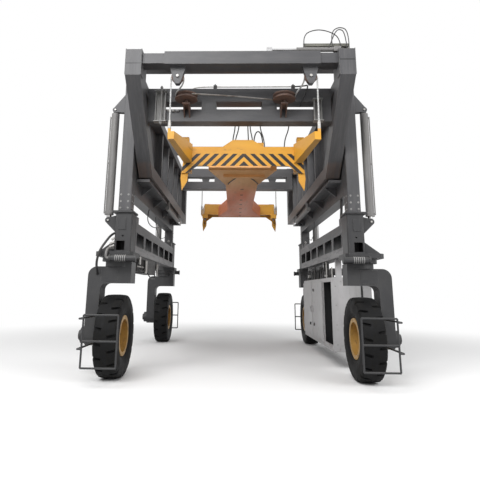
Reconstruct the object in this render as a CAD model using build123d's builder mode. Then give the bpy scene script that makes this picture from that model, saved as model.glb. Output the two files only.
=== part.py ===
"""Rubber tyred gantry crane with lifting legs, a sliding inner frame and a 20 ft spreader.

Millimetres. The origin is on the ground, midway between the four wheels.
+X is the right-hand side, -Y is the front end and +Z is up.
"""
import os
from math import atan2, cos, radians, sin

from build123d import *

os.makedirs("parts", exist_ok=True)

# Fits and gaps
running_gap = 0.05      # radial gap of a pin or rod in its bore
seat_gap = 0.5          # flat sliding pads and eyes beside their lugs
moving_gap = 5.0        # everything else that moves past its neighbour
tyre_seat_gap = 0.3     # tyre bead over the rim's barrel

# Wheels, four alike
tyre_diameter = 1490.0
tyre_width = 430.0
tread_width = 370.0
bead_width = 300.0
rim_diameter = 635.0
rim_flange = 48.0       # height of the rim's flange above the bead seat
rim_wall = 22.0
disc_offset = 60.0      # wheel disc, out from the wheel's middle plane
disc_thickness = 24.0
wheelbase = 5960.0
track = 4640.0

# Steering forks
crown_gap = 210.0       # tyre's top to the underside of the crown
crown_height = 310.0
crown_reach = 290.0     # steering axis to the crown's inner end
arm_gap = 75.0          # tyre's side to the arm
arm_thickness = 240.0
fork_depth = 370.0
fork_outer_radius = 170.0
fork_inner_radius = 120.0
head_block_width = 240.0
head_block_height = 90.0
turntable_radius = 250.0
spindle_radius = 100.0
motor_radius = 150.0
motor_length = 90.0

# Wheel guards of round tube, one in front of each tyre
guard_tube = 32.0
guard_gap = 325.0       # tyre's tread to the guard
guard_bottom = 330.0
guard_height = 835.0
guard_inner = 320.0     # steering axis to the guard's inner upright
guard_outer = 262.0     # steering axis to the guard's outer upright

# Slewing drives between fork and column
ring_radius = 315.0
ring_height = 85.0
worm_radius = 58.0
worm_length = 490.0

# Lower columns and side beams
column_width = 325.0
column_depth = 400.0
column_height = 765.0
column_wall = 16.0
column_offset = -92.0   # column's middle from the steering axis, across
base_plate_height = 90.0
base_plate_depth = 660.0
flange_thickness = 35.0
flange_lip = 40.0
beam_width = 300.0
beam_height = 620.0
beam_wall = 20.0
beam_windows = 6
window_length = 740.0
window_height = 270.0
window_bottom = 160.0

# Upper legs, masts inside them, and lift cylinders beside them
leg_width = 250.0
leg_depth = 270.0
leg_wall = 14.0
leg_length = 3310.0
mast_gap = 16.0
lift_stroke = 1800.0
mast_overlap = 900.0
lift_axis = 260.0       # lift cylinder's axis out from the steering axis
lift_barrel_radius = 80.0
lift_rod_radius = 50.0
lift_pin_radius = 25.0
lift_pin_low = 2920.0
lift_pin_high = 5250.0
lift_eye_radius = 60.0
lug_thickness = 20.0
lift_eye_width = 60.0

# Portal: girders beside the inner frame and ties across the leg tops
girder_bottom = 3470.0
girder_height = 880.0
tie_height = 250.0
tie_depth = 240.0
shelf_thickness = 60.0

# Inner frame, which slides along the portal
panel_inner = 1800.0
panel_width = 280.0
panel_bottom = 3870.0
panel_top = 5500.0
head_rise = 390.0       # front and rear heads of the panel over its top chord
panel_front_foot = -2710.0
panel_front = -4330.0
knee_drop = 120.0       # knee of the slanted post under the top chord
head_depth = 510.0
panel_rear = 3930.0
chord_height = 250.0
top_chord_height = 200.0
slanted_post = 300.0
rear_post = 330.0
web_thickness = 60.0
stiffener_width = 110.0
panel_window_border = 90.0
head_tube_depth = 260.0
head_tube_height = 200.0
head_tube_drop = 155.0  # panel head down to the head tube's middle
head_tube_inset = 185.0 # panel's front down to the head tube's middle
cross_beam_depth = 280.0
cross_beam_bottom = 4810.0
cross_beam_height = 690.0
cross_beam_front = -3360.0
cross_beam_rear = 2600.0

# Side shift: tubes that slide on the head tubes and carry the ropes
shift_offset = 80.0     # how far right of the middle the spreader hangs
shift_tube_length = 2850.0
shift_tube_wall = 24.5
rope_x = 1340.0
rope_radius = 15.0
hanger_drop = 315.0     # head tube's middle down to the rope sheave's axis
rope_foot = 4420.0
socket_radius = 28.0
hanger_sheave_radius = 120.0

# Spreader for 20 ft containers
spreader_bottom = 3980.0
core_half_width = 365.0
core_half_length = 1840.0
core_height = 340.0
end_beam_half = 1150.0
end_beam_depth = 230.0
end_beam_height = 350.0
corner_x = 1129.5       # twistlock centres
corner_y = 2926.5
corner_block = 180.0
corner_drop = 130.0
arm_eye_z = 4290.0

# Power pack on the right side
cabinet_inner = 2010.0
cabinet_width = 860.0
front_swing = 1180.0    # steering axis to the cabinet, which the wheel guard swings past
rear_swing = 830.0      # steering axis to the cabinet, which the tyre swings past
cabinet_bottom = 350.0
cabinet_height = 1540.0
sheet = 30.0
door_thickness = 25.0
door_lap = 15.0         # door past its opening
door_knuckle = 10.0     # radius of a hinge knuckle
door_knuckle_length = 70.0
door_hinges = (380.0, 1180.0)   # heights of the lower ends of the door's knuckles over its foot
door_swing = 14.0       # hinge axis beside the door's edge

# Worked out from the dimensions above
wheel_x = track / 2
wheel_y = wheelbase / 2
axle_z = tyre_diameter / 2
arm_inner = wheel_x + tyre_width / 2 + arm_gap
arm_outer = arm_inner + arm_thickness
crown_bottom = tyre_diameter + crown_gap
crown_top = crown_bottom + crown_height
block_top = crown_top + head_block_height
ring_bottom = block_top + 2 * moving_gap
plate_bottom = ring_bottom + ring_height
plate_top = plate_bottom + base_plate_height
column_x = wheel_x + column_offset
column_top = plate_top + column_height
flange_top = column_top + flange_thickness
leg_x = column_x + 17.0
leg_foot = flange_top + moving_gap
leg_top = leg_foot + leg_length
leg_outer = leg_x + leg_width / 2
leg_inner = leg_x - leg_width / 2
column_outer = column_x + column_width / 2
lift_x = wheel_x + lift_axis
beam_x = column_x - column_width / 2 + beam_width / 2
beam_bottom = plate_top
panel_outer = panel_inner + panel_width
panel_head = panel_top + head_rise
panel_knee = panel_top - knee_drop
head_tube_z = panel_head - head_tube_drop
head_tube_y = -panel_front - head_tube_inset
rope_y = head_tube_y
rope_top = head_tube_z - hanger_drop
cabinet_front = front_swing - wheel_y
cabinet_rear = wheel_y - rear_swing


def prism(plane, points, height, mode=Mode.ADD, radius=0.0):
    """A closed outline on a plane, extruded; every corner rounded by radius."""
    with BuildSketch(plane) as outline:
        with BuildLine():
            Polyline(*points, close=True)
        make_face()
        if radius:
            fillet(outline.vertices(), radius)
    extrude(outline.sketch, amount=height, mode=mode)


def block(x, y, z, mode=Mode.ADD, corner=0.0):
    """An upright block between two values of each coordinate, corners cut in plan."""
    with BuildSketch(Plane.XY.offset(min(z))) as foot:
        with Locations(((x[0] + x[1]) / 2, (y[0] + y[1]) / 2)):
            Rectangle(abs(x[1] - x[0]), abs(y[1] - y[0]))
        if corner:
            chamfer(foot.vertices(), corner)
    extrude(foot.sketch, amount=abs(z[1] - z[0]), mode=mode)


def bar(plane, centre, radius, length, mode=Mode.ADD):
    """A round bar along the plane's normal."""
    with BuildSketch(plane) as section:
        with Locations(centre):
            Circle(radius)
    extrude(section.sketch, amount=length, mode=mode)


def lug(y, thickness, foot, pin, radius):
    """A lug plate across Y, from its foot on a wall to a round nose at the pin.

    foot is (x, lower z, upper z) and pin is (x, z). The plate spans y to y + thickness.
    """
    upper = atan2(pin[1] - foot[2], pin[0] - foot[0]) + radians(90)
    with BuildSketch(Plane.XZ.offset(-y)) as outline:
        with Locations(pin):
            Circle(radius)
        with BuildLine():
            Polyline(
                (foot[0], foot[1]),
                (pin[0] + radius * 0.6, pin[1] - radius * 0.8),
                (pin[0] + radius * cos(upper) * 0.9, pin[1] + radius * sin(upper) * 0.9),
                (foot[0], foot[2]),
                close=True,
            )
        make_face()
    extrude(outline.sketch, amount=-thickness)


def save(part, name):
    part.label = name
    export_step(part, f"parts/{name}.step")


SIDES = (("right", 1), ("left", -1))
ENDS = (("front", -1), ("rear", 1))


def sided(part, sign):
    """The right-hand piece as built, or its mirror image for the left-hand side."""
    return part if sign > 0 else part.mirror(Plane.YZ)


def placed(part, side_sign, end_sign):
    """A front right-hand piece mirrored to another corner."""
    turned = sided(part, side_sign)
    return turned if end_sign < 0 else turned.mirror(Plane.XZ)


# Tyre: one revolved section with round shoulders and bulged sidewalls
bead_radius = rim_diameter / 2 + tyre_seat_gap
with BuildPart() as tyre:
    with BuildSketch(Plane.XZ) as section:
        with BuildLine():
            shoulder = axle_z - 42.0
            tread = Polyline(
                (tyre_width / 2 - 6, shoulder), (tread_width / 2, axle_z),
                (-tread_width / 2, axle_z), (-tyre_width / 2 + 6, shoulder),
            )
            bead_top = bead_radius + rim_flange + 10.0
            left = ThreePointArc(tread @ 1, (-tyre_width / 2, axle_z * 0.74), (-bead_width / 2, bead_top))
            seat = Polyline(left @ 1, (-bead_width / 2, bead_radius), (bead_width / 2, bead_radius),
                            (bead_width / 2, bead_top))
            ThreePointArc(seat @ 1, (tyre_width / 2, axle_z * 0.74), tread @ 0)
        make_face()
    revolve(axis=Axis.X)

# Rim: barrel with two flanges, a dished disc near the outer side and its hub
barrel_radius = rim_diameter / 2
flange_x = bead_width / 2 + 2.0
hub_end = tyre_width / 2 - 45.0
with BuildPart() as rim:
    with BuildSketch(Plane.XZ):
        with BuildLine():
            Polyline(
                (-flange_x, barrel_radius), (-flange_x, barrel_radius + rim_flange),
                (-flange_x - rim_wall, barrel_radius + rim_flange),
                (-flange_x - rim_wall, barrel_radius - rim_wall),
                (disc_offset - 60, barrel_radius - rim_wall),
                (disc_offset, barrel_radius - 70),
                (disc_offset, spindle_radius + running_gap),
                (hub_end, spindle_radius + running_gap),
                (hub_end, spindle_radius + 55),
                (disc_offset + disc_thickness, spindle_radius + 75),
                (disc_offset + disc_thickness, barrel_radius - rim_wall),
                (flange_x + rim_wall, barrel_radius - rim_wall),
                (flange_x + rim_wall, barrel_radius + rim_flange),
                (flange_x, barrel_radius + rim_flange), (flange_x, barrel_radius),
                close=True,
            )
        make_face()
    revolve(axis=Axis.X)

# Fork: one-sided gooseneck with turntable, spindle, hub motor and wheel guard
with BuildPart() as fork:
    with BuildSketch(Plane.XZ.offset(wheel_y - fork_depth / 2)) as gooseneck:
        with BuildLine():
            crown_inner = wheel_x - crown_reach
            block_outer = crown_inner + head_block_width
            Polyline(
                (crown_inner, crown_bottom), (arm_inner, crown_bottom), (arm_inner, axle_z),
                (arm_outer, axle_z), (arm_outer, crown_top), (block_outer, crown_top),
                (block_outer, block_top), (crown_inner, block_top), close=True,
            )
        make_face()
        inside = gooseneck.vertices().sort_by_distance((arm_inner, crown_bottom))[0]
        fillet(inside, fork_inner_radius)
        outside = gooseneck.vertices().sort_by_distance((arm_outer, crown_top))[0]
        fillet(outside, fork_outer_radius)
    extrude(amount=fork_depth)
    bar(Plane.YZ.offset(arm_inner), (-wheel_y, axle_z), fork_depth / 2, arm_thickness)
    bar(Plane.XY.offset(crown_top), (wheel_x, -wheel_y), turntable_radius,
        plate_bottom - moving_gap - crown_top)
    spindle_inner = wheel_x + disc_offset - 30.0
    bar(Plane.YZ.offset(spindle_inner), (-wheel_y, axle_z), spindle_radius,
        arm_inner - spindle_inner)
    hub_face = wheel_x + hub_end + moving_gap
    bar(Plane.YZ.offset(hub_face), (-wheel_y, axle_z), spindle_radius + 50, arm_inner - hub_face)
    bar(Plane.YZ.offset(arm_outer), (-wheel_y, axle_z), motor_radius, motor_length)
    bar(Plane.YZ.offset(arm_outer), (-wheel_y, axle_z), motor_radius * 0.6, motor_length * 1.5)
    # Guard frame: two uprights, three rails and two bars back to the arm
    guard_y = -wheel_y - axle_z - guard_gap
    tube = guard_tube / 2
    guard_top = guard_bottom + guard_height
    rail_length = guard_inner + guard_outer
    for x in (wheel_x - guard_inner, wheel_x + guard_outer):
        bar(Plane.XY.offset(guard_bottom), (x, guard_y), tube, guard_height)
    for z in (guard_bottom, (guard_bottom + guard_top) / 2, guard_top):
        bar(Plane.YZ.offset(wheel_x - guard_inner), (guard_y, z), tube, rail_length)
    stay_x = arm_inner + 40.0
    for z in (axle_z - 120.0, guard_top - 60.0):
        bar(Plane.XZ.offset(wheel_y), (stay_x, z), tube, -guard_y - wheel_y)
        bar(Plane.YZ.offset(wheel_x + guard_outer), (guard_y, z), tube, stay_x - wheel_x - guard_outer)

# Slewing drive: fixed ring round the turntable, with the worm's housing across its front
with BuildPart() as slew_drive:
    bar(Plane.XY.offset(ring_bottom), (wheel_x, -wheel_y), ring_radius, ring_height)
    worm_y = -wheel_y - base_plate_depth / 2 - worm_radius - 12 - moving_gap
    worm_x = wheel_x + 90.0 - worm_length
    worm_z = ring_bottom + ring_height / 2
    block((worm_x + 60, worm_x + worm_length - 40), (worm_y, -wheel_y - ring_radius * 0.7),
          (ring_bottom + 8, plate_bottom - 8))
    bar(Plane.YZ.offset(worm_x), (worm_y, worm_z), worm_radius, worm_length)
    for x in (worm_x - 14.0, worm_x + worm_length - 30.0):
        bar(Plane.YZ.offset(x), (worm_y, worm_z), worm_radius + 12, 30.0)
    bar(Plane.XY.offset(ring_bottom), (wheel_x, -wheel_y), turntable_radius + running_gap,
        ring_height, mode=Mode.SUBTRACT)
    mirror(about=Plane.XZ)

# Lower column with its base plate, gusset, lift lug and the mast that stands in it
mast_width = leg_width - 2 * leg_wall - 2 * mast_gap
mast_depth = leg_depth - 2 * leg_wall - 2 * mast_gap
mast_top = leg_foot + lift_stroke + mast_overlap
front_face = -wheel_y - column_depth / 2
with BuildPart() as columns:
    block((column_x - column_width / 2, column_outer), (front_face, front_face + column_depth),
          (plate_top, column_top), corner=22.0)
    block((column_x - column_width / 2 + column_wall, column_outer - column_wall),
          (front_face + column_wall, front_face + column_depth - column_wall),
          (plate_top, column_top), mode=Mode.SUBTRACT)
    block((wheel_x - ring_radius - 15, wheel_x + ring_radius + 65),
          (-wheel_y - base_plate_depth / 2, -wheel_y + base_plate_depth / 2),
          (plate_bottom, plate_top), corner=60.0)
    block((column_x - column_width / 2 - 20, column_outer + 70),
          (front_face - flange_lip, front_face + column_depth + flange_lip),
          (column_top, flange_top), corner=20.0)
    block((leg_x - mast_width / 2, leg_x + mast_width / 2),
          (-wheel_y - mast_depth / 2, -wheel_y + mast_depth / 2), (column_top, mast_top))
    # Outer gusset, sloping from the column down to the base plate's edge
    for y in (-wheel_y - 110.0, -wheel_y + 90.0):
        prism(Plane.XZ.offset(-y),
              ((column_outer, plate_top), (wheel_x + ring_radius + 50, plate_top),
               (wheel_x + ring_radius + 50, plate_top + 25), (column_outer, plate_top + 240)),
              -lug_thickness)
    # Square access hole, round hole and raised plate on the front face
    hole_x = column_x + 40.0
    block((hole_x - 82, hole_x + 82), (front_face - 1, front_face + column_wall + 1),
          (plate_top + 35, plate_top + 215), mode=Mode.SUBTRACT)
    bar(Plane.XZ.offset(-front_face - column_wall), (column_x + 5, plate_top + 310), 18.0, 30.0,
        mode=Mode.SUBTRACT)
    block((column_x - 48, column_x + 92), (front_face - 14, front_face),
          (plate_top + 430, plate_top + 660), corner=6.0)
    # Lugs and pin of the lift cylinder's lower eye
    for y in (-wheel_y - lift_eye_width / 2 - seat_gap - lug_thickness,
              -wheel_y + lift_eye_width / 2 + seat_gap):
        lug(y, lug_thickness, (column_outer - 1, column_top - 400, column_top - 30),
            (lift_x, lift_pin_low), lift_eye_radius)
    bar(Plane.XZ.offset(wheel_y - lift_eye_width / 2 - lug_thickness - 12), (lift_x, lift_pin_low),
        lift_pin_radius, lift_eye_width + 2 * lug_thickness + 24)
    mirror(about=Plane.XZ)

# Side beam: a box between the columns with windows in its inner web
with BuildPart() as side_beam:
    beam_half = wheel_y - column_depth / 2
    x_inner, x_outer = beam_x - beam_width / 2, beam_x + beam_width / 2
    block((x_inner, x_outer), (-beam_half, beam_half), (beam_bottom, beam_bottom + beam_height))
    block((x_inner + beam_wall, x_outer - beam_wall), (-beam_half + beam_wall, beam_half - beam_wall),
          (beam_bottom + beam_wall, beam_bottom + beam_height - beam_wall), mode=Mode.SUBTRACT)
    pitch = 2 * beam_half / beam_windows
    with BuildSketch(Plane.YZ.offset(x_inner)) as windows:
        with Locations((0, beam_bottom + window_bottom + window_height / 2)):
            with GridLocations(pitch, 0, beam_windows, 1):
                Rectangle(window_length, window_height)
    extrude(windows.sketch, amount=beam_wall, mode=Mode.SUBTRACT)
    for y in (-beam_half, beam_half - 300.0):
        block((x_inner + 20, x_outer), (y, y + 300.0),
              (beam_bottom + beam_height, column_top))

# Lift cylinders: rods stand on the columns, barrels hang from the legs
barrel_foot = lift_pin_low + lift_eye_radius + 50.0
barrel_top = lift_pin_high - lift_eye_radius - 20.0
rod_top = barrel_foot + lift_stroke + 150.0
with BuildPart() as lift_rods:
    bar(Plane.XZ.offset(wheel_y - lift_eye_width / 2), (lift_x, lift_pin_low), lift_eye_radius,
        lift_eye_width)
    neck_top = lift_pin_low + lift_eye_radius + moving_gap
    block((lift_x - 42, lift_x + 42), (-wheel_y - lift_eye_width / 2, -wheel_y + lift_eye_width / 2),
          (lift_pin_low, neck_top))
    bar(Plane.XY.offset(neck_top), (lift_x, -wheel_y), lift_rod_radius, rod_top - neck_top)
    bar(Plane.XZ.offset(wheel_y - lift_eye_width), (lift_x, lift_pin_low),
        lift_pin_radius + running_gap, 2 * lift_eye_width, mode=Mode.SUBTRACT)
    mirror(about=Plane.XZ)

pipe_x = lift_x + lift_barrel_radius + 22.0
with BuildPart() as lift_barrels:
    bar(Plane.XY.offset(barrel_foot), (lift_x, -wheel_y), lift_barrel_radius, barrel_top - barrel_foot)
    bar(Plane.XY.offset(barrel_foot), (lift_x, -wheel_y), lift_barrel_radius + 8, 70.0)
    bar(Plane.XZ.offset(wheel_y - lift_eye_width / 2), (lift_x, lift_pin_high), lift_eye_radius,
        lift_eye_width)
    block((lift_x - 45, lift_x + 45), (-wheel_y - lift_eye_width / 2, -wheel_y + lift_eye_width / 2),
          (barrel_top, lift_pin_high))
    for z in (barrel_foot + 60.0, (barrel_foot + barrel_top) / 2, barrel_top - 80.0):
        block((lift_x, pipe_x), (-wheel_y - 14, -wheel_y + 14), (z - 14, z + 14))
    bar(Plane.XY.offset(barrel_foot + 30), (pipe_x, -wheel_y), 12.0, barrel_top - barrel_foot - 90)
    bar(Plane.XY.offset(barrel_foot), (lift_x, -wheel_y), lift_rod_radius + running_gap,
        rod_top + 40.0 - barrel_foot, mode=Mode.SUBTRACT)
    bar(Plane.XZ.offset(wheel_y - lift_eye_width), (lift_x, lift_pin_high),
        lift_pin_radius + running_gap, 2 * lift_eye_width, mode=Mode.SUBTRACT)
    mirror(about=Plane.XZ)

# Upper legs: tubes over the masts, with wear pads in the foot and the upper lift lugs
with BuildPart() as legs:
    y_span = (-wheel_y - leg_depth / 2, -wheel_y + leg_depth / 2)
    block((leg_inner, leg_outer), y_span, (leg_foot, leg_top), corner=12.0)
    block((leg_inner + leg_wall, leg_outer - leg_wall), (y_span[0] + leg_wall, y_span[1] - leg_wall),
          (leg_foot, leg_top - leg_wall), mode=Mode.SUBTRACT)
    pad_x, pad_y = leg_x, -wheel_y
    pad_reach = mast_gap - seat_gap
    for x in (leg_inner + leg_wall, leg_outer - leg_wall - pad_reach):
        block((x, x + pad_reach), (pad_y - 60, pad_y + 60), (leg_foot + 20, leg_foot + 240))
    for y in (y_span[0] + leg_wall, y_span[1] - leg_wall - pad_reach):
        block((pad_x - 50, pad_x + 50), (y, y + pad_reach), (leg_foot + 20, leg_foot + 240))
    for y in (-wheel_y - lift_eye_width / 2 - seat_gap - lug_thickness,
              -wheel_y + lift_eye_width / 2 + seat_gap):
        lug(y, lug_thickness, (leg_outer - 1, lift_pin_high - 60, lift_pin_high + 360),
            (lift_x, lift_pin_high), lift_eye_radius)
    bar(Plane.XZ.offset(wheel_y - lift_eye_width / 2 - lug_thickness - 12), (lift_x, lift_pin_high),
        lift_pin_radius, lift_eye_width + 2 * lug_thickness + 24)
    mirror(about=Plane.XZ)

# Girder between the legs, with the shelf and pads that carry the inner frame
girder_half = wheel_y - leg_depth / 2
shelf_top = panel_bottom - 30.0
with BuildPart() as girder:
    block((leg_inner, leg_outer), (-girder_half, girder_half),
          (girder_bottom, girder_bottom + girder_height))
    block((panel_inner + 60, leg_inner), (-girder_half + 150, girder_half - 150),
          (shelf_top - shelf_thickness, shelf_top))
    for y in (-2200.0, -750.0, 750.0, 2200.0):
        prism(Plane.XZ.offset(-y),
              ((leg_inner, shelf_top - shelf_thickness), (panel_inner + 80, shelf_top - shelf_thickness),
               (leg_inner, shelf_top - 260)), -lug_thickness)
        block((panel_inner + 70, panel_outer - 20), (y - 120, y + 120),
              (shelf_top, panel_bottom - seat_gap))

# Ties across the leg tops
with BuildPart() as portal_ties:
    block((-leg_inner, leg_inner), (-wheel_y - tie_depth / 2, -wheel_y + tie_depth / 2),
          (leg_top - tie_height, leg_top))
    mirror(about=Plane.XZ)

# Side panel of the inner frame: posts, chords and web, seen from the side
foot_slope = atan2(panel_knee - panel_bottom, panel_front_foot - panel_front)
post_run = slanted_post / sin(foot_slope)
stiffeners = (-1350.0, -350.0, 650.0, 1650.0, 2650.0)
with BuildPart() as inner_side:
    prism(Plane.YZ.offset(panel_inner),
          ((panel_front_foot, panel_bottom), (panel_rear, panel_bottom), (panel_rear, panel_knee - 330),
           (-panel_front, panel_knee), (-panel_front, panel_head),
           (-panel_front - head_depth, panel_head), (-panel_front - head_depth, panel_top),
           (panel_front + head_depth, panel_top), (panel_front + head_depth, panel_head),
           (panel_front, panel_head), (panel_front, panel_knee)), panel_width)
    # Pocket from the inner side, leaving the outer web
    slope_x = (panel_knee - panel_bottom) / (panel_front_foot - panel_front)
    pocket_low, pocket_high = panel_bottom + chord_height, panel_top - top_chord_height
    foot_low = panel_front_foot - (pocket_low - panel_bottom) / -slope_x * -1 + post_run
    foot_high = panel_front_foot - (pocket_high - panel_bottom) / -slope_x * -1 + post_run
    prism(Plane.YZ.offset(panel_inner),
          ((foot_low, pocket_low), (panel_rear - rear_post, pocket_low),
           (panel_rear - rear_post, pocket_high), (foot_high, pocket_high)),
          panel_width - web_thickness, mode=Mode.SUBTRACT)
    for y in stiffeners:
        block((panel_inner + 40, panel_outer - web_thickness),
              (y - stiffener_width / 2, y + stiffener_width / 2), (pocket_low, pocket_high))
    # Windows with slanted corners, one in each bay behind the first
    bay_ends = stiffeners[1:] + (panel_rear - rear_post,)
    for y0, y1 in zip(stiffeners, bay_ends):
        low, high = y0 + stiffener_width / 2 + panel_window_border, y1 - panel_window_border
        if y1 in stiffeners:
            high -= stiffener_width / 2
        cut = (high - low) * 0.28
        bottom, top = pocket_low + panel_window_border, pocket_high - panel_window_border
        prism(Plane.YZ.offset(panel_outer - web_thickness),
              ((low + cut, bottom), (high, bottom), (high, top - cut), (high - cut, top), (low, top),
               (low, bottom + cut)), web_thickness, mode=Mode.SUBTRACT)

# Cross members of the inner frame: head tubes and windowed cross beams
with BuildPart() as cross_members:
    for y in (-head_tube_y, head_tube_y):
        block((-panel_inner, panel_inner), (y - head_tube_depth / 2, y + head_tube_depth / 2),
              (head_tube_z - head_tube_height / 2, head_tube_z + head_tube_height / 2))
    for y in (cross_beam_front, cross_beam_rear):
        front = y - cross_beam_depth / 2
        block((-panel_inner, panel_inner), (front, front + cross_beam_depth),
              (cross_beam_bottom, cross_beam_bottom + cross_beam_height))
        for x0, x1 in ((-1630.0, -740.0), (-450.0, 450.0), (740.0, 1630.0)):
            block((x0, x1), (front, front + cross_beam_depth),
                  (cross_beam_bottom + 250, cross_beam_bottom + 415), mode=Mode.SUBTRACT)

# Turning sheaves on the front cross beam: brackets, pins and grooved wheels
sheave_radius = 215.0
sheave_z = cross_beam_bottom + 400.0
beam_front = cross_beam_front - cross_beam_depth / 2
sheave_y = beam_front - sheave_radius - moving_gap
with BuildPart() as turning_sheaves:
    for x in (-1020.0, 860.0):
        with BuildSketch(Plane.XZ.offset(-sheave_y)) as groove:
            with BuildLine():
                Polyline((x + 30, sheave_z - 60), (x + sheave_radius, sheave_z - 50),
                         (x + sheave_radius, sheave_z - 30), (x + sheave_radius - 35, sheave_z - 8),
                         (x + sheave_radius - 35, sheave_z + 8), (x + sheave_radius, sheave_z + 30),
                         (x + sheave_radius, sheave_z + 50), (x + 30, sheave_z + 60), close=True)
            make_face()
        revolve(groove.sketch, axis=Axis((x, sheave_y, 0), (0, 0, 1)))
        bar(Plane.XY.offset(sheave_z - 140), (x, sheave_y), 32.0, 220.0)
        block((x - 70, x + 70), (sheave_y - 60, beam_front), (sheave_z - 150, sheave_z - 120))
        for rib in (x - 60, x + 40):
            prism(Plane.YZ.offset(rib),
                  ((beam_front, sheave_z - 150), (sheave_y - 40, sheave_z - 150),
                   (beam_front, sheave_z - 330)), 20.0)

# Longitudinal shift cylinders: barrel under each chord, rod to a bracket on the rear leg
shift_x = panel_inner + 140.0 - 90.0
frame_cyl_z = panel_bottom - 190.0
frame_barrel_radius = 55.0
frame_rod_radius = 30.0
barrel_rear = 2000.0
barrel_front = -200.0
rod_rear = 2480.0
with BuildPart() as frame_barrel:
    bar(Plane.XZ.offset(-barrel_rear), (shift_x, frame_cyl_z), frame_barrel_radius,
        barrel_rear - barrel_front)
    for y in (barrel_front + 60.0, barrel_rear - 120.0):
        block((panel_inner, panel_inner + 60 - 2 * moving_gap), (y, y + 60.0), (frame_cyl_z, panel_bottom))
    bar(Plane.XZ.offset(-barrel_rear), (shift_x, frame_cyl_z), frame_rod_radius + running_gap,
        barrel_rear - barrel_front - 60, mode=Mode.SUBTRACT)

with BuildPart() as frame_rod:
    bar(Plane.XZ.offset(-rod_rear), (shift_x, frame_cyl_z), frame_rod_radius, rod_rear - 500.0)
    block((shift_x - 40, leg_inner), (rod_rear, rod_rear + 90),
          (frame_cyl_z - 70, frame_cyl_z + 70), corner=10.0)

# Side-shift tubes over the head tubes, with hanger plates for the rope sheaves
tube_outer_y = head_tube_depth / 2 + moving_gap + 20
tube_outer_z = head_tube_height / 2 + seat_gap + shift_tube_wall
sheave_x = rope_x - hanger_sheave_radius
with BuildPart() as shift_tubes:
    middle = shift_offset - 35.0
    block((middle - shift_tube_length / 2, middle + shift_tube_length / 2),
          (-head_tube_y - tube_outer_y, -head_tube_y + tube_outer_y),
          (head_tube_z - tube_outer_z, head_tube_z + tube_outer_z))
    block((middle - shift_tube_length / 2, middle + shift_tube_length / 2),
          (-head_tube_y - tube_outer_y + 20, -head_tube_y + tube_outer_y - 20),
          (head_tube_z - head_tube_height / 2 - seat_gap, head_tube_z + head_tube_height / 2 + seat_gap),
          mode=Mode.SUBTRACT)
    for x in (shift_offset - sheave_x, shift_offset + sheave_x):
        for y in (-rope_y - 50.0, -rope_y + 34.0):
            prism(Plane.XZ.offset(-y),
                  ((x - 150, head_tube_z - tube_outer_z), (x - 70, rope_top - 90),
                   (x - 30, rope_top - 150), (x + 30, rope_top - 150), (x + 70, rope_top - 90),
                   (x + 150, head_tube_z - tube_outer_z)), -16.0)
    mirror(about=Plane.XZ)

groove_floor = hanger_sheave_radius - rope_radius - 2.6
with BuildPart() as hanger_sheaves:
    for x in (shift_offset - sheave_x, shift_offset + sheave_x):
        with BuildSketch(Plane.XY.offset(rope_top)) as groove:
            with BuildLine():
                Polyline((x, -rope_y - 26), (x + hanger_sheave_radius - 3, -rope_y - 24),
                         (x + hanger_sheave_radius - 3, -rope_y - 18),
                         (x + groove_floor, -rope_y - 6), (x + groove_floor, -rope_y + 6),
                         (x + hanger_sheave_radius - 3, -rope_y + 18),
                         (x + hanger_sheave_radius - 3, -rope_y + 24), (x, -rope_y + 26), close=True)
            make_face()
        revolve(groove.sketch, axis=Axis((x, 0, rope_top), (0, 1, 0)))
        bar(Plane.XZ.offset(rope_y + 33.7), (x, rope_top), 20.0, -67.4)
    mirror(about=Plane.XZ)

# Hoist ropes from the sheaves to the sockets on the spreader's arms
with BuildPart() as hoist_ropes:
    for x in (shift_offset - rope_x, shift_offset + rope_x):
        bar(Plane.XY.offset(rope_foot), (x, -rope_y), rope_radius, rope_top - rope_foot)
    mirror(about=Plane.XZ)

# Side-shift cylinder along the top of the front head tube
side_cyl_z = head_tube_z + tube_outer_z + 75.0
side_cyl_y = -head_tube_y - 60.0
side_barrel_left = 1050.0
side_barrel_right = 1790.0
with BuildPart() as side_barrel:
    bar(Plane.YZ.offset(side_barrel_left), (side_cyl_y, side_cyl_z), 42.0,
        side_barrel_right - side_barrel_left)
    block((side_barrel_right - 60, panel_inner + 60), (side_cyl_y - 45, side_cyl_y + 45),
          (side_cyl_z - 45, side_cyl_z + 45))
    block((panel_inner, panel_inner + 60), (side_cyl_y - 45, side_cyl_y + 45),
          (panel_head, side_cyl_z))
    bar(Plane.YZ.offset(side_barrel_left), (side_cyl_y, side_cyl_z), 20.0 + running_gap,
        side_barrel_right - side_barrel_left - 60, mode=Mode.SUBTRACT)

with BuildPart() as side_rod:
    bar(Plane.YZ.offset(560.0), (side_cyl_y, side_cyl_z), 20.0, 850.0)
    block((500.0, 600.0), (side_cyl_y - 35, side_cyl_y + 35),
          (head_tube_z + tube_outer_z, side_cyl_z + 35), corner=8.0)

# Spreader core with flared ends
core_top = spreader_bottom + core_height
end_front = corner_y + 233.5
end_rear = end_front - end_beam_depth
with BuildPart() as spreader_core:
    with BuildSketch(Plane.XY.offset(spreader_bottom)) as plan:
        with BuildLine():
            flare = core_half_width * 1.9
            Polyline(
                (core_half_width, -core_half_length + 250), (flare, -end_rear), (-flare, -end_rear),
                (-core_half_width, -core_half_length + 250), (-core_half_width, core_half_length - 250),
                (-flare, end_rear), (flare, end_rear), (core_half_width, core_half_length - 250),
                close=True,
            )
        make_face()
    extrude(plan.sketch, amount=core_height)

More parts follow.
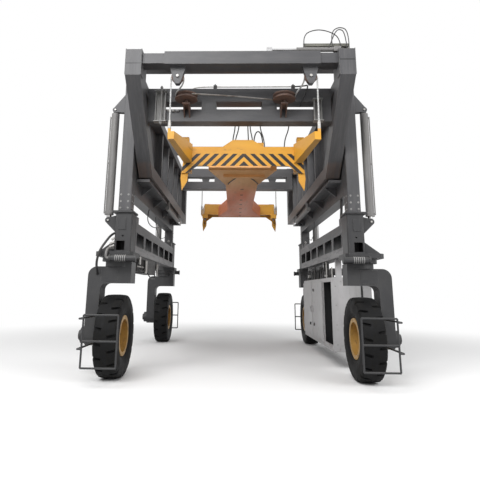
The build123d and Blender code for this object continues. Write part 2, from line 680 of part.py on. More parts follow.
end_beam_bottom = spreader_bottom + 70.0
end_beam_top = end_beam_bottom + end_beam_height
with BuildPart() as end_beams:
    block((-end_beam_half, end_beam_half), (-end_front, -end_rear), (end_beam_bottom, end_beam_top))
    # Warning board across the front, with a raised crown and dropped ends
    prism(Plane.XZ.offset(end_front),
          ((-1220, 3850), (-1110, 3850), (-900, 4000), (900, 4000), (1110, 3850), (1220, 3850),
           (1160, 4330), (500, 4330), (200, 4540), (-200, 4540), (-500, 4330), (-1160, 4330)), 14.0)
    # Corner blocks over the twistlocks
    for x in (-corner_x, corner_x):
        block((x - corner_block / 2, x + corner_block / 2),
              (-corner_y - corner_block / 2, -corner_y + corner_block / 2),
              (end_beam_bottom - corner_drop, end_beam_bottom))
    # Arms out to the rope eyes
    for sign in (-1, 1):
        with BuildSketch(Plane.XZ.offset(end_front)) as root:
            with Locations((sign * 1090.0, end_beam_bottom + 200)):
                Rectangle(160.0, 400.0)
        with BuildSketch(Plane.XZ.offset(rope_y + 60)) as tip:
            with Locations((sign * (rope_x - 40), arm_eye_z - 20)):
                Rectangle(110.0, 150.0)
        loft([root.sketch.faces()[0], tip.sketch.faces()[0]])
        # Flipper that guides the spreader down over a corner
        prism(Plane.XZ.offset(end_front - 60),
              ((sign * 1085, end_beam_bottom), (sign * 1150, end_beam_bottom), (sign * 1215, 3965),
               (sign * 1235, 3750), (sign * 1205, 3510), (sign * 1100, 3700)), 45.0)
        bar(Plane.XY.offset(arm_eye_z - 50), (sign * rope_x, -rope_y), socket_radius,
            rope_foot - arm_eye_z + 50)
    mirror(about=Plane.XZ)

with BuildPart() as twistlocks:
    for x in (-corner_x, corner_x):
        bar(Plane.XY.offset(end_beam_bottom - corner_drop - 30), (x, -corner_y), 28.0, 30.0)
        with BuildSketch(Plane.XY.offset(end_beam_bottom - corner_drop - 30)) as shoulder_face:
            with Locations((x, -corner_y)):
                Rectangle(56.0, 100.0)
            fillet(shoulder_face.vertices(), 20.0)
        extrude(shoulder_face.sketch, amount=-50.0, taper=22.0)
    mirror(about=Plane.XZ)

# Power pack cabinet, hung from the right side beam
cab_x = (cabinet_inner + door_thickness + moving_gap, cabinet_inner + cabinet_width)
cab_y = (cabinet_front, cabinet_rear)
cab_z = (cabinet_bottom, cabinet_bottom + cabinet_height)
open_bay = 920.0
front_bay = 1360.0
bay_post = 80.0         # cabinet's end to its first bay
bay_frame = 100.0       # between the open bay and the front door's
door_post = 70.0        # between the two doors' bays, and behind the rear one
front_bay_start = cabinet_front + bay_post + open_bay + bay_frame
rear_bay_start = front_bay_start + front_bay + door_post
BAYS = (   # start y, end y, whether a door closes it
    (cabinet_front + bay_post, cabinet_front + bay_post + open_bay, False),
    (front_bay_start, front_bay_start + front_bay, True),
    (rear_bay_start, cabinet_rear - door_post, True),
)


def hinge_line(y0, y1):
    """Height-wise hinge line of a door: on the side of its opening away from the other door."""
    if y0 == front_bay_start:
        return y0 - door_lap - door_swing
    return y1 + door_lap + door_swing


with BuildPart() as power_pack:
    block(cab_x, cab_y, cab_z)
    block((cab_x[0] + sheet, cab_x[1] - sheet), (cab_y[0] + sheet, cab_y[1] - sheet),
          (cab_z[0] + sheet, cab_z[1] - sheet), mode=Mode.SUBTRACT)
    for y0, y1, _ in BAYS:
        block((cab_x[0], cab_x[0] + sheet), (y0, y1), (cab_z[0] + 120, cab_z[1] - 90),
              mode=Mode.SUBTRACT)
    # Wall between the open compartment and the engine bay
    wall_y = front_bay_start - bay_frame / 2
    block((cab_x[0] + sheet, cab_x[1] - sheet), (wall_y - 10, wall_y + 10),
          (cab_z[0] + sheet, cab_z[1] - sheet))
    # Fixed knuckles of the door hinges, above and below the doors' own
    for y0, y1, closed in BAYS:
        if closed:
            axis_y = hinge_line(y0, y1)
            for z in door_hinges:
                foot = cab_z[0] + z
                for low in (foot - door_knuckle_length - seat_gap, foot + door_knuckle_length + seat_gap):
                    bar(Plane.XY.offset(low), (cabinet_inner, axis_y), door_knuckle, door_knuckle_length)
                    block((cabinet_inner, cab_x[0]), (axis_y - 5, axis_y + 5),
                          (low, low + door_knuckle_length))
    # Hangers up to the side beam
    for y in (cabinet_front + 150.0, front_bay_start + 400.0, cabinet_rear - 250.0):
        block((beam_x - 60, beam_x + 60), (y - 50, y + 50), (cab_z[1], beam_bottom))

save(sided(power_pack.part, 1), "power_pack")

with BuildPart() as engine:
    block((cab_x[0] + 150, cab_x[1] - 150), (wall_y + 250, wall_y + 1650),
          (cab_z[0] + sheet, cab_z[0] + 950))
save(engine.part, "engine")

with BuildPart() as muffler:
    muffler_y = cabinet_front + 550.0
    bar(Plane.YZ.offset(beam_x - 100), (muffler_y, cab_z[1] + 140), 80.0, 520.0)
    for x in (beam_x - 60, beam_x + 320):
        block((x, x + 40), (muffler_y - 40, muffler_y + 40), (cab_z[1], cab_z[1] + 80))
save(muffler.part, "muffler")

# Doors, overlaid on the cabinet's inner face and hinged at their far edges
DOORS = (("power_pack_door_front", BAYS[1]), ("power_pack_door_rear", BAYS[2]))
for name, (y0, y1, _) in DOORS:
    with BuildPart() as door:
        block((cabinet_inner, cabinet_inner + door_thickness), (y0 - door_lap, y1 + door_lap),
              (cab_z[0] + 105, cab_z[1] - 75))
        axis_y = hinge_line(y0, y1)
        ahead = axis_y < y0
        edge_y = y0 - door_lap if ahead else y1 + door_lap
        for z in door_hinges:
            bar(Plane.XY.offset(cab_z[0] + z), (cabinet_inner, axis_y), door_knuckle,
                door_knuckle_length)
            block((cabinet_inner, cabinet_inner + door_knuckle), (axis_y, edge_y),
                  (cab_z[0] + z, cab_z[0] + z + door_knuckle_length))
        latch_y = y1 - 90 if ahead else y0 + 90
        block((cabinet_inner - 22, cabinet_inner), (latch_y - 25, latch_y + 25),
              (cab_z[0] + 700, cab_z[0] + 860))
    save(door.part, name)

# Hydraulic unit under the left side beam
with BuildPart() as hydraulic_unit:
    block((-beam_x - 150, -beam_x + 130), (-1550.0, -250.0), (beam_bottom - 340, beam_bottom))
    block((-beam_x - 110, -beam_x + 140), (-2330.0, -1620.0), (beam_bottom - 60, beam_bottom))
    for y in (-2240.0, -2060.0, -1880.0, -1700.0):
        bar(Plane.XY.offset(beam_bottom - 330), (-beam_x + 80, y), 36.0, 330.0)
save(hydraulic_unit.part, "hydraulic_unit")

# Write the pieces, mirrored to their sides
for side, sign in SIDES:
    save(sided(columns.part, sign), f"columns_{side}")
    save(sided(side_beam.part, sign), f"side_beam_{side}")
    save(sided(slew_drive.part, sign), f"slew_drives_{side}")
    save(sided(lift_rods.part, sign), f"lift_rods_{side}")
    save(sided(lift_barrels.part, sign), f"lift_barrels_{side}")
    save(sided(legs.part, sign), f"legs_{side}")
    save(sided(girder.part, sign), f"girder_{side}")
    save(sided(inner_side.part, sign), f"inner_side_{side}")
    for end, end_sign in ENDS:
        corner = Location((wheel_x, -wheel_y, axle_z))
        save(placed(tyre.part.moved(corner), sign, end_sign), f"tyre_{end}_{side}")
        save(placed(rim.part.moved(corner), sign, end_sign), f"rim_{end}_{side}")
        save(placed(fork.part, sign, end_sign), f"fork_{end}_{side}")

save(portal_ties.part, "portal_ties")
save(cross_members.part, "cross_members")
save(turning_sheaves.part, "turning_sheaves")
save(Compound(children=[frame_barrel.part, frame_barrel.part.mirror(Plane.YZ), side_barrel.part]),
     "shift_barrels")
save(Compound(children=[frame_rod.part, frame_rod.part.mirror(Plane.YZ)]), "frame_shift_rods")
save(shift_tubes.part, "shift_tubes")
save(hanger_sheaves.part, "hanger_sheaves")
save(hoist_ropes.part, "hoist_ropes")
save(side_rod.part, "side_shift_rod")
spreader_place = Location((shift_offset, 0, 0))
save(spreader_core.part.moved(spreader_place), "spreader_core")
save(end_beams.part.moved(spreader_place), "spreader_ends")
save(twistlocks.part.moved(spreader_place), "twistlocks")
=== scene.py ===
from math import cos, pi, radians, sin, tau

import bmesh
import bpy
from mathutils import Matrix, Vector


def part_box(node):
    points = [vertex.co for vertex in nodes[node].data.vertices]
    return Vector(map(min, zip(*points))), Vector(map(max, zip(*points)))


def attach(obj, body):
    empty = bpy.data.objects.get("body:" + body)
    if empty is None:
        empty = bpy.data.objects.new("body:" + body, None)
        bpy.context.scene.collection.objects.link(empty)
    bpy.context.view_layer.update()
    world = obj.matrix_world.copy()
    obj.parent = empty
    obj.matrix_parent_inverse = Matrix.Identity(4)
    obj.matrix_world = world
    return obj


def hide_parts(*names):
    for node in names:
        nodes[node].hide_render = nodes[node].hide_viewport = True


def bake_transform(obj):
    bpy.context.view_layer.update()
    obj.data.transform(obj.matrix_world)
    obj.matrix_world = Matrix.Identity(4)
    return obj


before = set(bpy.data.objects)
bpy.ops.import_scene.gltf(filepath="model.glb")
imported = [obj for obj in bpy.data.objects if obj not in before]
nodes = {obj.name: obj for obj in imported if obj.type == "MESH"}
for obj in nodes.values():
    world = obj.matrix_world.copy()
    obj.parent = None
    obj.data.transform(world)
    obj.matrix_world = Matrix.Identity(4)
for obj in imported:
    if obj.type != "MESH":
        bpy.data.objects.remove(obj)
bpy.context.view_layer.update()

SIDES = (("left", -1), ("right", 1))
ENDS = (("front", -1), ("rear", 1))
CORNERS = [(f"{end}_{side}", x_sign, y_sign) for side, x_sign in SIDES for end, y_sign in ENDS]

# Tones of the weathered paints: deep, worn and under dust
GREY_TONES = ((0.052, 0.052, 0.056), (0.084, 0.083, 0.088), (0.15, 0.147, 0.145))
FORK_TONES = ((0.022, 0.022, 0.024), (0.034, 0.034, 0.036), (0.062, 0.061, 0.059))
CYLINDER_TONES = ((0.15, 0.145, 0.145), (0.21, 0.205, 0.2), (0.28, 0.27, 0.25))
STEEL_TONES = ((0.22, 0.22, 0.215), (0.32, 0.315, 0.31), (0.4, 0.39, 0.38))
TRAY_TONES = ((0.1, 0.1, 0.085), (0.15, 0.148, 0.125), (0.2, 0.19, 0.17))
# Near black: the colour of black iron and of the heads' seam, and painted shade in the cabinet's
# open bay and end gap
BLACK_AND_SHADE = (0.012, 0.012, 0.013)
EDGE_WEAR = 0.006  # width of the rubbed edges

# Marks in the paint, in metres. A pair is where a mark begins and where it is full.
PRIMER_TOP = (4.16, 4.08)  # on the inner frame's lower chords
HEAD_SEAM = (5.61, 5.675)  # height of the seam on the left and on the right head
LOWER_CHORD_TOP = (2.47, 2.43)  # side beams
UPPER_CHORD_FOOT = (2.69, 2.73)
CHEVRON_X = 0.1  # where the bars meet
CHEVRON_PITCH = 0.183
CHEVRON_START = 4.006  # height of a bar's lower edge on the middle line
CHEVRON_SHARE = 0.5  # black part of the pitch
CHEVRON_TOP = 4.25
BOARD_FRONT, BOARD_BACK = -3.2, -3.157
SLOT_X = 0.098  # middle of the row of slots under the spreader's core, whose shade is painted dark
SLOT_START, SLOT_PITCH = -1.19, 0.65

# Sizes of the crane that several pieces share
WHEEL_X, WHEEL_Y, AXLE_Z = 2.32, 2.98, 0.745
RIM_DISC = 2.38  # wheel disc's face in the rim's dish
ROPE_X = (-1.26, 1.42)
ROPE_Y = 4.145
ROPE_FOOT, ROPE_TOP = 4.42, 5.42
ARM_X = (-1.08, 1.24)  # middles of the spreader's arms
HEAD_FRONT = -4.33
PIN_X, PIN_FACE = 2.58, 3.036  # pins of the lift cylinders, and the face they end on
WORM_Y, WORM_Z = 3.385, 2.1525
GIRDER_UNDER = 3.475
BEAM_UNDER = 2.287
CABINET_LOW, CABINET_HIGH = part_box("power_pack")
# The cabinet's inside, which is painted near black as shade
INSIDE_X = (CABINET_LOW[0] + 0.05, CABINET_HIGH[0] - 0.01)
INSIDE_Y = (CABINET_LOW[1] + 0.01, CABINET_HIGH[1] - 0.01)
INSIDE_Z = (CABINET_LOW[2] + 0.02, 1.88)
GAP_X = (2.64, 2.685)  # open gap between the cabinet's end panels, painted near black as its shade

LUGS = 18  # grooves on each of a tyre's shoulders
GROOVE_DEPTH = 0.045
GROOVE_FLOORS = ((0.07, 0.2), (0.57, 0.7))  # left and right shoulder, in shares of a pitch
GROOVE_REACH = 0.06  # half width of the smooth middle rib
GROOVE_SLANT, SLANT_SPAN = 0.16, 0.13  # share of a pitch, gained over this width
TREAD_HALF = 0.185
BEAD_HALF, BEAD_RADIUS = 0.15, 0.318

SKY_LOW, SKY_HIGH = 0.16, 0.8  # light from the sides and from above
FLOOR_REACH = 60.0


# Shader maths

class Shade:
    """A value in a material's nodes. Arithmetic on it adds Math nodes."""

    def __init__(self, tree, socket=None):
        self.tree = tree
        self.socket = socket

    def node(self, kind, settings=None, inputs=None, output=0):
        """Any other node: its settings come first, then its sockets' values or links."""
        made = self.tree.nodes.new(kind)
        for name, value in (settings or {}).items():
            setattr(made, name, value)
        for name, value in (inputs or {}).items():
            if isinstance(value, Shade):
                self.tree.links.new(value.socket, made.inputs[name])
            elif isinstance(value, tuple) and made.inputs[name].type == "RGBA":
                made.inputs[name].default_value = (*value, 1.0)
            else:
                made.inputs[name].default_value = value
        return Shade(self.tree, made.outputs[output] if made.outputs else None)

    def math(self, operation, *others):
        inputs = {0: self, **{place + 1: other for place, other in enumerate(others)}}
        return self.node("ShaderNodeMath", {"operation": operation}, inputs)

    def __add__(self, other):
        return self.math("ADD", other)

    def __mul__(self, other):
        return self.math("MULTIPLY", other)

    def __sub__(self, other):
        return self.math("SUBTRACT", other)

    def __rsub__(self, other):
        return self.math("MULTIPLY", -1.0).math("ADD", other)

    def __truediv__(self, other):
        return self.math("DIVIDE", other)

    def __gt__(self, other):
        return self.math("GREATER_THAN", other)

    __radd__ = __add__
    __rmul__ = __mul__

    def between(self, low, high):
        """1 from low to high, 0 outside."""
        return (self > low) * (1 - (self > high))

    def band(self, low, high, reach_low=0.0, reach_high=1.0):
        """This value from low to high, mapped smoothly onto another span and held there."""
        return self.node("ShaderNodeMapRange", {"interpolation_type": "SMOOTHSTEP"},
                         {0: self, 1: low, 2: high, 3: reach_low, 4: reach_high})

    def mix(self, first, second):
        """The first colour where this value is 0, the second where it is 1."""
        return self.node("ShaderNodeMix", {"data_type": "RGBA"}, {0: self, 6: first, 7: second}, 2)

    def axis(self, letter):
        return self.node("ShaderNodeSeparateXYZ", inputs={0: self}, output="XYZ".index(letter))

    def cloud(self, scale, detail=4.0, roughness=0.55):
        """Noise around 0.5 over the box that the piece fills."""
        return self.node("ShaderNodeTexNoise", inputs={
            "Scale": scale, "Detail": detail, "Roughness": roughness})

    def bump(self, strength, distance):
        return self.node("ShaderNodeBump", inputs={
            "Strength": strength, "Distance": distance, "Height": self})


def emptied(owner):
    """The cleared nodes of a material or a world."""
    owner.use_nodes = True
    owner.node_tree.nodes.clear()
    return Shade(owner.node_tree)


def finish(name, looks):
    """A material whose colour, gloss and bump come from one function of its place."""
    material = bpy.data.materials.new(name)
    start = emptied(material)
    place = start.node("ShaderNodeTexCoord", output="Object")
    surface = start.node("ShaderNodeBsdfPrincipled", inputs=looks(place))
    start.node("ShaderNodeOutputMaterial", inputs={"Surface": surface})
    return material


def facing(place):
    """How far a face looks up: 1 on tops, 0 on walls, -1 on undersides."""
    return place.node("ShaderNodeTexCoord", output="Normal").axis("Z")


def worn_edges(place):
    """1 along convex edges, broken up by noise."""
    round_normal = place.node("ShaderNodeBevel", {"samples": 4}, {"Radius": EDGE_WEAR})
    true_normal = place.node("ShaderNodeNewGeometry", output="Normal")
    turn = round_normal.node("ShaderNodeVectorMath", {"operation": "DOT_PRODUCT"},
                             {0: round_normal, 1: true_normal}, "Value")
    return turn.band(0.99, 0.9) * place.cloud(14.0, 5.0).band(0.42, 0.62)


def paint(tones, gloss=0.42, chipped=None):
    """Weathered machine paint: cloudy tone, stains, dust on ledges, rubbed edges."""
    deep, worn, dust = tones

    def looks(place):
        cloudy = place.cloud(0.9, 5.0, 0.6)
        stains = place.cloud(7.0, 4.0, 0.6).band(0.42, 0.7)
        specks = place.cloud(55.0, 3.0, 0.7).band(0.6, 0.72)
        ledge = facing(place).band(0.35, 0.9)
        tone = cloudy.band(0.3, 0.72).mix(deep, worn)
        dirty = stains * 0.175 + cloudy.band(0.45, 0.75) * 0.225
        colour = dirty.mix(tone, dust)
        colour = (ledge * 0.75).mix(colour, dust)
        colour = (specks * 0.35).mix(colour, dust)
        if chipped:
            colour = worn_edges(place).mix(colour, chipped)
        rough = cloudy.band(0.3, 0.7, gloss, gloss + 0.2) + ledge * 0.2
        ripple = place.cloud(2.2, 3.0) + place.cloud(60.0, 2.0) * 0.06
        return {"Base Color": colour, "Roughness": rough, "Normal": ripple.bump(0.35, 0.004)}
    return looks


def side_panel_paint(place):
    """Grey paint with primer brown on the lower chord's inner edge and a seam on the heads."""
    inputs = paint(GREY_TONES, chipped=(0.24, 0.22, 0.2))(place)
    height = place.axis("Z")
    patches = place.cloud(3.0, 6.0, 0.7).band(0.3, 0.6)
    primer = height.band(*PRIMER_TOP) * patches * 0.75
    seam_height = place.axis("X").band(-0.1, 0.1, *HEAD_SEAM)
    on_seam = (height - seam_height).math("ABSOLUTE").band(0.013, 0.009) \
        * place.axis("Y").band(HEAD_FRONT + 0.01, HEAD_FRONT + 0.005)
    colour = primer.mix(inputs["Base Color"], (0.115, 0.078, 0.062))
    inputs["Base Color"] = on_seam.mix(colour, BLACK_AND_SHADE)
    return inputs


def pale_patched_beam_paint(upper_share):
    """Side beam paint: the lower chord is pale with dust, the upper one paler in patches."""
    def looks(place):
        inputs = paint(GREY_TONES, chipped=(0.3, 0.29, 0.28))(place)
        height = place.axis("Z")
        dust = place.cloud(9.0, 5.0, 0.7).band(0.25, 0.6)
        lower = height.band(*LOWER_CHORD_TOP) * dust
        patches = place.cloud(1.4, 2.0, 0.5).band(0.5, 0.56)
        upper = height.band(*UPPER_CHORD_FOOT) * patches * upper_share
        pale = (lower * 0.75 + upper * 0.6).math("MINIMUM", 0.8)
        inputs["Base Color"] = pale.mix(inputs["Base Color"], (0.27, 0.265, 0.27))
        return inputs
    return looks


def bright_steel(place):
    scratches = place.cloud(90.0, 3.0, 0.6)
    oil = place.cloud(3.0, 4.0).band(0.4, 0.7)
    return {"Base Color": oil.mix((0.62, 0.62, 0.63), (0.42, 0.41, 0.4)), "Metallic": 1.0,
            "Roughness": scratches.band(0.3, 0.7, 0.14, 0.3), "Normal": scratches.bump(0.1, 0.001)}


def worn_steel(place):
    stains = place.cloud(11.0, 6.0, 0.7)
    colour = stains.band(0.4, 0.62).mix((0.3, 0.29, 0.275), (0.15, 0.125, 0.105))
    return {"Base Color": colour, "Metallic": stains.band(0.35, 0.6, 0.75, 0.2),
            "Roughness": stains.band(0.3, 0.7, 0.42, 0.7), "Normal": stains.bump(0.3, 0.002)}


def stained(grain, edge, tones, rough, metallic=0.0, relief=None):
    """A finish of one noise: its tones meet over the edge, and it gives the gloss and bump."""
    def looks(place):
        stain = place.cloud(*grain)
        inputs = {"Base Color": stain.band(*edge).mix(*tones), "Metallic": metallic,
                  "Roughness": stain.band(0.3, 0.7, *rough)}
        if relief:
            inputs["Normal"] = stain.bump(*relief)
        return inputs
    return looks


def chevrons(place):
    """1 on the black bars of the front warning board, which meet over the middle."""
    across = (place.axis("X") - CHEVRON_X).math("ABSOLUTE")
    step = (across + place.axis("Z") - CHEVRON_START) / CHEVRON_PITCH
    black = 1 - (step.math("FRACT") > CHEVRON_SHARE)
    below = 1 - (place.axis("Z") > CHEVRON_TOP)
    ahead = 1 - (place.axis("Y") > BOARD_BACK)
    behind = 1 - (place.axis("Y") * -1.0 > -BOARD_FRONT)
    return black * below * ahead * behind


def amber_paint(place):
    """Spreader paint, darker and redder below as painted shade, with scuffs and the warning bars.
    """
    cloudy = place.cloud(1.6, 5.0, 0.6)
    scuffs = place.cloud(13.0, 6.0, 0.75)
    amber = cloudy.band(0.3, 0.7).mix((0.76, 0.38, 0.035), (0.62, 0.29, 0.03))
    colour = (scuffs.band(0.56, 0.7) * 0.5).mix(amber, (0.2, 0.12, 0.05))
    # Painted shade: faces that look down are mixed towards a dark brown.
    below = facing(place).band(-0.5, -0.95) * 0.55
    colour = below.mix(colour, (0.42, 0.25, 0.1))
    bars = chevrons(place) * scuffs.band(0.8, 0.62, 0.8, 1.0)
    return {"Base Color": bars.mix(colour, (0.011, 0.008, 0.007)),
            "Roughness": cloudy.band(0.3, 0.7, 0.36, 0.55), "Normal": scuffs.bump(0.25, 0.002)}


def core_paint(place):
    """Spreader core: tan in front, salmon red primer towards the rear, with the shade of its slots
    painted dark.
    """
    cloudy = place.cloud(2.0, 5.0, 0.65)
    along = place.axis("Y")
    front = cloudy.band(0.35, 0.65).mix((0.8, 0.42, 0.16), (0.66, 0.35, 0.15))
    rear = cloudy.band(0.35, 0.65).mix((1.0, 0.38, 0.21), (0.92, 0.3, 0.17))
    colour = (along + cloudy * 0.5).band(-1.9, 0.2).mix(front, rear)
    # Painted shade: the slots are dark marks in the colour that stand for their shade, not holes.
    row = (place.axis("X") - SLOT_X).math("ABSOLUTE").band(0.037, 0.033)
    slot = ((along - SLOT_START) / SLOT_PITCH).math("FRACT").band(0.1, 0.095)
    colour = (row * slot * along.band(-1.3, -1.29)).mix(colour, (0.02, 0.012, 0.01))
    dirt = place.cloud(9.0, 6.0, 0.75).band(0.5, 0.72) * 0.3
    return {"Base Color": dirt.mix(colour, (0.3, 0.16, 0.09)), "Specular IOR Level": 0.2,
            "Roughness": cloudy.band(0.3, 0.7, 0.45, 0.7), "Normal": dirt.bump(0.3, 0.002)}


def cabinet_paint(place):
    """Pale grey with grime, darker towards the bottom with rust there, and painted shade, near
    black, in the open bay and in the end's gap.
    """
    cloudy = place.cloud(1.2, 5.0, 0.6)
    grime = place.cloud(9.0, 5.0, 0.65).band(0.5, 0.75)
    across, height = place.axis("X"), place.axis("Z")
    low = height.band(0.75, 0.35)
    tone = cloudy.band(0.3, 0.7).mix((0.42, 0.415, 0.42), (0.52, 0.51, 0.515))
    colour = (grime * 0.3 + low * 0.2 * cloudy).mix(tone, (0.2, 0.19, 0.175))
    rust = low * place.cloud(5.0, 6.0, 0.75).band(0.52, 0.66) * 0.5
    colour = rust.mix(colour, (0.16, 0.07, 0.045))
    # Painted shade: the inside of the open bay and the gap in the end are coloured near black.
    painted_bay_shade = across.between(*INSIDE_X) * height.between(*INSIDE_Z) \
        * place.axis("Y").between(*INSIDE_Y)
    painted_gap_shade = across.between(*GAP_X) * (height > INSIDE_Z[0])
    return {"Base Color": painted_bay_shade.math("MAXIMUM", painted_gap_shade).mix(colour, BLACK_AND_SHADE),
            "Roughness": cloudy.band(0.3, 0.7, 0.35, 0.5),
            "Normal": place.cloud(1.6, 2.0).bump(0.25, 0.004)}


def rubber(place):
    """Tyre rubber, nearly black, with a little brownish dust."""
    dust = place.cloud(5.0, 6.0, 0.7)
    grit = place.cloud(70.0, 4.0, 0.7)
    colour = dust.band(0.42, 0.72).mix((0.004, 0.004, 0.0045), (0.012, 0.0115, 0.0105))
    return {"Base Color": colour, "Roughness": dust.band(0.3, 0.7, 0.62, 0.85),
            "Specular IOR Level": 0.22, "Normal": (grit + dust * 2.0).bump(0.3, 0.002)}


LOOKS = {
    "grey paint": paint(GREY_TONES, chipped=(0.2, 0.195, 0.19)),
    "dark paint": paint(FORK_TONES, chipped=(0.16, 0.155, 0.15)),
    "panel paint": side_panel_paint,
    "left beam paint": pale_patched_beam_paint(0.0),
    "right beam paint": pale_patched_beam_paint(1.0),
    "cylinder paint": paint(CYLINDER_TONES, chipped=(0.4, 0.38, 0.35)),
    "bright steel": bright_steel,
    "worn steel": worn_steel,
    "sheave brown": stained(
        (24.0, 6.0, 0.7), (0.35, 0.65), ((0.055, 0.034, 0.028), (0.15, 0.085, 0.062)),
        (0.55, 0.85), relief=(0.4, 0.002)),
    "rope wire": stained(
        (30.0, 4.0, 0.7), (0.35, 0.65), ((0.3, 0.3, 0.3), (0.5, 0.5, 0.49)),
        (0.35, 0.6), metallic=0.6, relief=(0.2, 0.001)),
    "amber paint": amber_paint,
    "core paint": core_paint,
    "cabinet paint": cabinet_paint,
    "black iron": stained(
        (18.0, 5.0, 0.7), (0.35, 0.7), (BLACK_AND_SHADE, (0.05, 0.046, 0.043)),
        (0.45, 0.75), relief=(0.4, 0.002)),
    "rubber": rubber,
    "rim gold": stained(
        (6.0, 6.0, 0.7), (0.5, 0.72), ((0.46, 0.27, 0.075), (0.17, 0.105, 0.045)),
        (0.3, 0.55), metallic=0.25, relief=(0.2, 0.002)),
    "hose rubber": stained(
        (40.0, 3.0), (0.4, 0.7), ((0.014, 0.014, 0.015), (0.04, 0.038, 0.036)),
        (0.4, 0.62), relief=(0.2, 0.001)),
    "pale fitting": stained(
        (30.0, 4.0), (0.4, 0.7), ((0.55, 0.54, 0.52), (0.33, 0.31, 0.29)),
        (0.35, 0.55), metallic=0.3),
    "pale steel": paint(STEEL_TONES, gloss=0.35),
    "tray paint": paint(TRAY_TONES),
}
FINISHES = {name: finish(name.replace(" ", "_"), looks) for name, looks in LOOKS.items()}


# Meshes and Geometry Nodes

def placed(name, data):
    """An object of this data in the scene."""
    made = bpy.data.objects.new(name, data)
    bpy.context.scene.collection.objects.link(made)
    return made


def piece(name, mesh, finish_name, body=None):
    """An object of the crane at the origin, in one finish, on its body."""
    made = placed(name, mesh)
    if finish_name:
        mesh.materials.clear()
        mesh.materials.append(FINISHES[finish_name])
    if body:
        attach(made, body)
    return made


def mesh_of(name, build):
    """A mesh filled by a function that takes a bmesh, with its faces turned outwards."""
    shape = bmesh.new()
    build(shape)
    bmesh.ops.remove_doubles(shape, verts=shape.verts, dist=1e-5)
    bmesh.ops.recalc_face_normals(shape, faces=shape.faces)
    mesh = bpy.data.meshes.new(name)
    shape.to_mesh(mesh)
    shape.free()
    return mesh


def plain_mesh(holder):
    """The object's mesh as it is drawn, with its modifiers or its curve's thickness."""
    bpy.context.view_layer.update()
    depsgraph = bpy.context.evaluated_depsgraph_get()
    return bpy.data.meshes.new_from_object(holder.evaluated_get(depsgraph), depsgraph=depsgraph)


class Growth:
    """A Geometry Nodes tree with named inputs, made plain at the end."""

    def __init__(self, name):
        self.tree = bpy.data.node_groups.new(name, "GeometryNodeTree")
        for way in ("INPUT", "OUTPUT"):
            self.tree.interface.new_socket("Geometry", in_out=way,
                                           socket_type="NodeSocketGeometry")
        self.start = self.tree.nodes.new("NodeGroupInput")
        self.end = self.tree.nodes.new("NodeGroupOutput")

    def ask(self, name, kind, value=None):
        """A named input, as a socket inside the tree."""
        socket = self.tree.interface.new_socket(name, in_out="INPUT", socket_type=kind)
        if value is not None:
            socket.default_value = value
        return self.start.outputs[name]

    def node(self, kind, settings=None, inputs=None, output=0):
        made = self.tree.nodes.new(kind)
        for name, value in (settings or {}).items():
            setattr(made, name, value)
        for name, value in (inputs or {}).items():
            if isinstance(value, bpy.types.NodeSocket):
                self.tree.links.new(value, made.inputs[name])
            else:
                made.inputs[name].default_value = value
        return made.outputs[output]

    def math(self, operation, first, second):
        return self.node("ShaderNodeMath", {"operation": operation}, {0: first, 1: second})

    def close(self, geometry, material):
        """Ends the tree with real geometry in its material."""
        real = self.node("GeometryNodeRealizeInstances", inputs={0: geometry})
        coated = self.node("GeometryNodeSetMaterial",
                           inputs={"Geometry": real, "Material": material})
        self.tree.links.new(coated, self.end.inputs[0])
        return self.tree


def grown(name, seed_mesh, tree, finish_name, body, slot=None, **sizes):
    """The tree's result on a seed mesh, as a plain piece."""
    seed = placed(name + "_seed", seed_mesh)
    modifier = seed.modifiers.new("growth", "NODES")
    modifier.node_group = tree
    for item in tree.interface.items_tree:
        if item.item_type == "SOCKET" and item.in_out == "INPUT" and item.name in sizes:
            modifier[item.identifier] = sizes[item.name]
    mesh = plain_mesh(seed)
    seed.modifiers.remove(modifier)
    bpy.data.objects.remove(seed)
    mesh.name = name
    return piece(name, mesh, finish_name, body)


def ring_tree():
    """Copies of the seed round the X axis, joined edge to edge."""
    growth = Growth("ring")
    count = growth.ask("Count", "NodeSocketInt", LUGS)
    line = growth.node("GeometryNodeMeshLine", inputs={"Count": count, "Offset": (0.0, 0.0, 0.0)})
    share = growth.math("DIVIDE", growth.node("GeometryNodeInputIndex"), count)
    turn = growth.node("ShaderNodeCombineXYZ", inputs={"X": growth.math("MULTIPLY", share, tau)})
    copies = growth.node("GeometryNodeInstanceOnPoints", inputs={
        "Points": line, "Instance": growth.start.outputs["Geometry"], "Rotation": turn})
    real = growth.node("GeometryNodeRealizeInstances", inputs={0: copies})
    joined = growth.node("GeometryNodeMergeByDistance",
                         inputs={"Geometry": real, "Distance": 0.0004})
    return growth.close(joined, FINISHES["rubber"])


